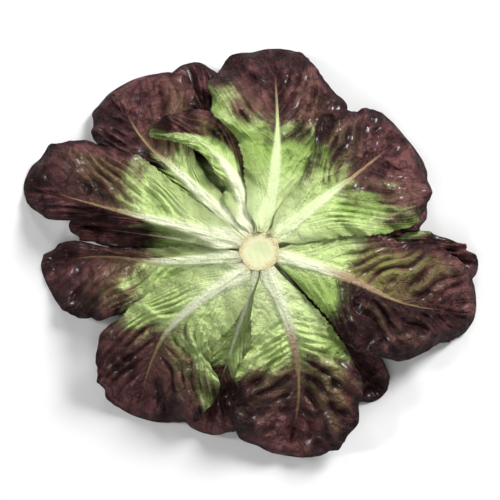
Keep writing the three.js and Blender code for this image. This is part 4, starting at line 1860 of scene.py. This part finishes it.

# The sixth value of each HalfBlade paints shade into that half, and light where it is negative.
OUTER_LEAVES = (
    OuterLeaf(
        "leaf_under_top", 104.0, ((-23.5, 63.0), (-47.0, 113.5)), 3.0,
        HalfBlade((8, 12, 16, 21, 20), 0.42, 0.40, olive=0.0),
        HalfBlade((8, 12, 16, 20, 18), 0.42, 0.40, olive=0.0),
        Rank.UNDER, rib_tan=0.5, rise_length=0.0,
    ),
    # Painted shade on both halves, for the shadow between the leaves above it.
    OuterLeaf(
        "leaf_under_left", 172.0, ((-65.0, 9.6), (-116.0, 16.0)), 3.0,
        HalfBlade((6, 8, 9, 10, 9), 0.5, 0.42, olive=0.1, painted_shade=0.4),
        HalfBlade((6, 8, 9, 9, 9), 0.5, 0.4, olive=0.1, painted_shade=0.4),
        Rank.UNDER, rib_tan=0.5, rise_length=0.0, stout=0.4,
    ),
    # Red from the foot, so the shaded gap over it reads dark: painted shade; its halves also get painted
    # light.
    OuterLeaf(
        "leaf_under_lower_right", -40.0, ((42.5, -47.0), (75.0, -89.0)), 3.0,
        HalfBlade((8, 10, 12, 14, 14), 0.1, 0.0, olive=0.0, painted_shade=-0.2),
        HalfBlade((8, 12, 16, 20, 20), 0.1, 0.0, olive=0.0, painted_shade=-0.2),
        Rank.UNDER, rib_tan=0.45, rise_length=0.0, stout=0.4, fan=0.6,
    ),
    OuterLeaf(
        "leaf_under_right", 3.0, ((72.6, 3.0), (133.8, -10.0)), 3.0,
        HalfBlade((6, 8, 10, 13, 12), 0.55, 0.6, olive=0.2),
        HalfBlade((8, 12, 16, 20, 20), 0.5, 0.5, olive=0.0),
        Rank.UNDER, rib_tan=0.6, rise_length=0.0, pucker=0.7, crinkle=0.6, curl=1.0,
    ),
    OuterLeaf(
        "leaf_under_upper_right", 20.0, ((55.8, 18.0), (102.0, 27.0)), 3.0,
        HalfBlade((7, 10, 13, 16, 15), 0.5, 0.45, olive=0.0),
        HalfBlade((6, 9, 12, 14, 14), 0.6, 0.55, olive=0.1),
        Rank.UNDER, rib_tan=0.5, rise_length=0.0,
    ),
    OuterLeaf(
        "leaf_under_bottom", -100.0, ((-15.6, -56.0), (-33.6, -111.0)), 2.8,
        HalfBlade((8, 11, 14, 17, 21), 0.62, 0.56, olive=0.1),
        HalfBlade((8, 11, 15, 20, 27), 0.62, 0.5, olive=0.1),
        Rank.UNDER, rib_tan=0.7, pucker=1.2, rise_length=40.0, stout=0.45,
    ),
    OuterLeaf(
        "leaf_upper_left", 131.0, ((-41.0, 40.2), (-68.4, 65.4), (-89.0, 98.0)), 3.2,
        HalfBlade((8, 12, 13, 18, 25), 0.60, 0.42, 0.09, 0.05, 0.3),
        HalfBlade((6, 9, 19, 38, 43), 0.58, 0.40, 0.09, 0.5, -0.65),
        rib_tan=0.62, pucker=1.7, stout=1.35, fan=1.1,
    ),
    OuterLeaf(
        "leaf_left", -164.0, ((-56.4, -5.4), (-98.4, -3.0), (-133.0, -8.4)), 3.4,
        HalfBlade((13, 22, 31, 38, 36), 0.54, 0.38, 0.12, 0.45, -0.35),
        HalfBlade((5, 7, 6, 6, 11), 0.40, 0.32, 0.1, 0.15, -0.2),
        rib_tan=0.5, fan=1.2,
    ),
    OuterLeaf(
        "leaf_bottom", -66.0, ((18.6, -46.8), (24.0, -82.8), (18.0, -125.0)), 4.4,
        HalfBlade((14, 23, 32, 38, 33), 0.50, 0.40, 0.1, 0.5, -0.1),
        HalfBlade((17, 24, 36, 37, 40), 0.55, 0.43, 0.09, 0.35, -0.1),
        rib_tan=0.38, pucker=1.8, pleats=2.4, flare=(-1.0, 2.0), stout=1.05, fan=3.2, sweep=0.14,
    ),
    OuterLeaf(
        "leaf_top_left", 106.0, ((-14.4, 43.2), (-36.6, 65.4), (-66.0, 69.6)), 2.8,
        HalfBlade((8, 12, 16, 12, 7), 1.4, 1.3, 0.1, 0.0),
        HalfBlade((5, 6, 17, 20, 14), 1.3, -0.6, 0.14, 0.6, -0.8),
        rib_tan=1.4, pucker=0.9, curl=1.5, tuck=0.6, flare=(3.0, 7.0), stout=1.4,
    ),
    OuterLeaf(
        "leaf_right", -14.0, ((51.6, -15.0), (84.6, -30.6), (132.0, -38.4)), 4.6,
        HalfBlade((17, 28, 33, 39, 34), 0.36, 0.26, 0.06, 1.0, -0.4),
        HalfBlade((18, 28, 36, 35, 21), 0.36, 0.28, 0.06, 0.15, 0.6),
        rib_tan=0.3, pucker=2.3, stout=0.85, sweep=0.34, flare=(3.0, -1.0), fan=1.0,
    ),
    OuterLeaf(
        "leaf_top", 78.0, ((8.4, 40.0), (11.0, 73.0), (9.0, 123.6)), 4.0,
        HalfBlade((9, 17, 26, 40, 38), 0.54, 0.62, 0.12, 0.3, 0.3),
        HalfBlade((12, 24, 34, 40, 27), 0.54, 0.42, 0.1, 0.2, 0.3),
        rib_tan=0.75, flare=(7.0, 4.0), bleach=0.40,
    ),
    OuterLeaf(
        "leaf_upper_far_left", 156.0, ((-55.8, 16.2), (-99.6, 28.2), (-143.4, 40.8)), 3.8,
        HalfBlade((5, 5, 8, 10, 16), 0.46, 0.30, 0.08, 0.0, 0.2),
        HalfBlade((12, 23, 34, 35.5, 33.5), 0.57, 0.42, 0.08, 0.5, -0.4),
        rib_tan=0.56, stout=1.35,
    ),
    OuterLeaf(
        "leaf_lower_left", -127.0, ((-38.4, -31.8), (-57.6, -51.6), (-76.5, -100.5)), 4.2,
        HalfBlade((15, 23, 32, 43, 42), 0.50, 0.63, 0.16, 0.45, -0.3),
        HalfBlade((12, 21, 24, 34, 29), 0.56, 0.48, 0.08, 0.1, -0.45),
        rib_tan=0.62, pucker=2.3, flare=(7.0, 3.0),
    ),
    OuterLeaf(
        "leaf_upper_right", 41.0, ((36.0, 29.4), (61.8, 49.2), (88.5, 70.5)), 4.2,
        HalfBlade((11, 16, 28, 39, 31), 0.56, 0.34, 0.16, 0.35),
        HalfBlade((14, 25, 37, 45, 42), 0.54, 0.54, 0.14, 0.3),
        rib_tan=0.62, bleach=0.54,
    ),
)


def settle(piece: Object, node: str | None = None) -> None:
    """Ties a piece to the frame.

    Args:
        piece: The object.
        node: The frame node that it stands for.
    """
    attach(piece, BODY)
    if node:
        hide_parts(node)
    LOG.info("%s: %d faces", piece.name, len(piece.data.polygons))


def main() -> None:
    """Builds the stem, the heart, the outer leaves and the studio."""
    logging.basicConfig(level=logging.INFO, format="%(message)s")
    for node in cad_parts.values():
        node.name = f"frame_{node.name}"
    colours = LeafColours()
    effects = LeafEffects(colours)
    outer_skin = LeafFinish("outer leaf skin", Rank.SHOWN.veins, 140.0).material(effects)
    under_skin = LeafFinish("under leaf skin", Rank.UNDER.veins, 120.0).material(effects)
    heart_skin = LeafFinish("heart leaf skin", Rank.HEART.veins, 85.0).material(effects)
    cords = VeinCords(VeinFinish().material(colours))
    flesh = StemFinish().material()
    bundle = StemFinish("stem bundle", pith=(0.57, 0.47, 0.23), ring=(0.67, 0.60, 0.34)).material()
    stem = Stem()
    axis = stem.axis()
    settle(stem.build(flesh), stem.node)
    settle(stem.bundles_piece(bundle))
    lay = LayMap()
    for ring in HEART_RINGS:
        for order in range(ring.leaves):
            piece = ring.build(order, axis, lay, heart_skin)
            settle(piece, piece.name)
    for number, leaf in enumerate(OUTER_LEAVES):
        skin = outer_skin if leaf.rank is Rank.SHOWN else under_skin
        blade, veins = leaf.build(axis, lay, skin, cords, 40 * number)
        settle(blade, leaf.name)
        settle(veins)
    Studio().build()


if __name__ == "__main__":
    main()
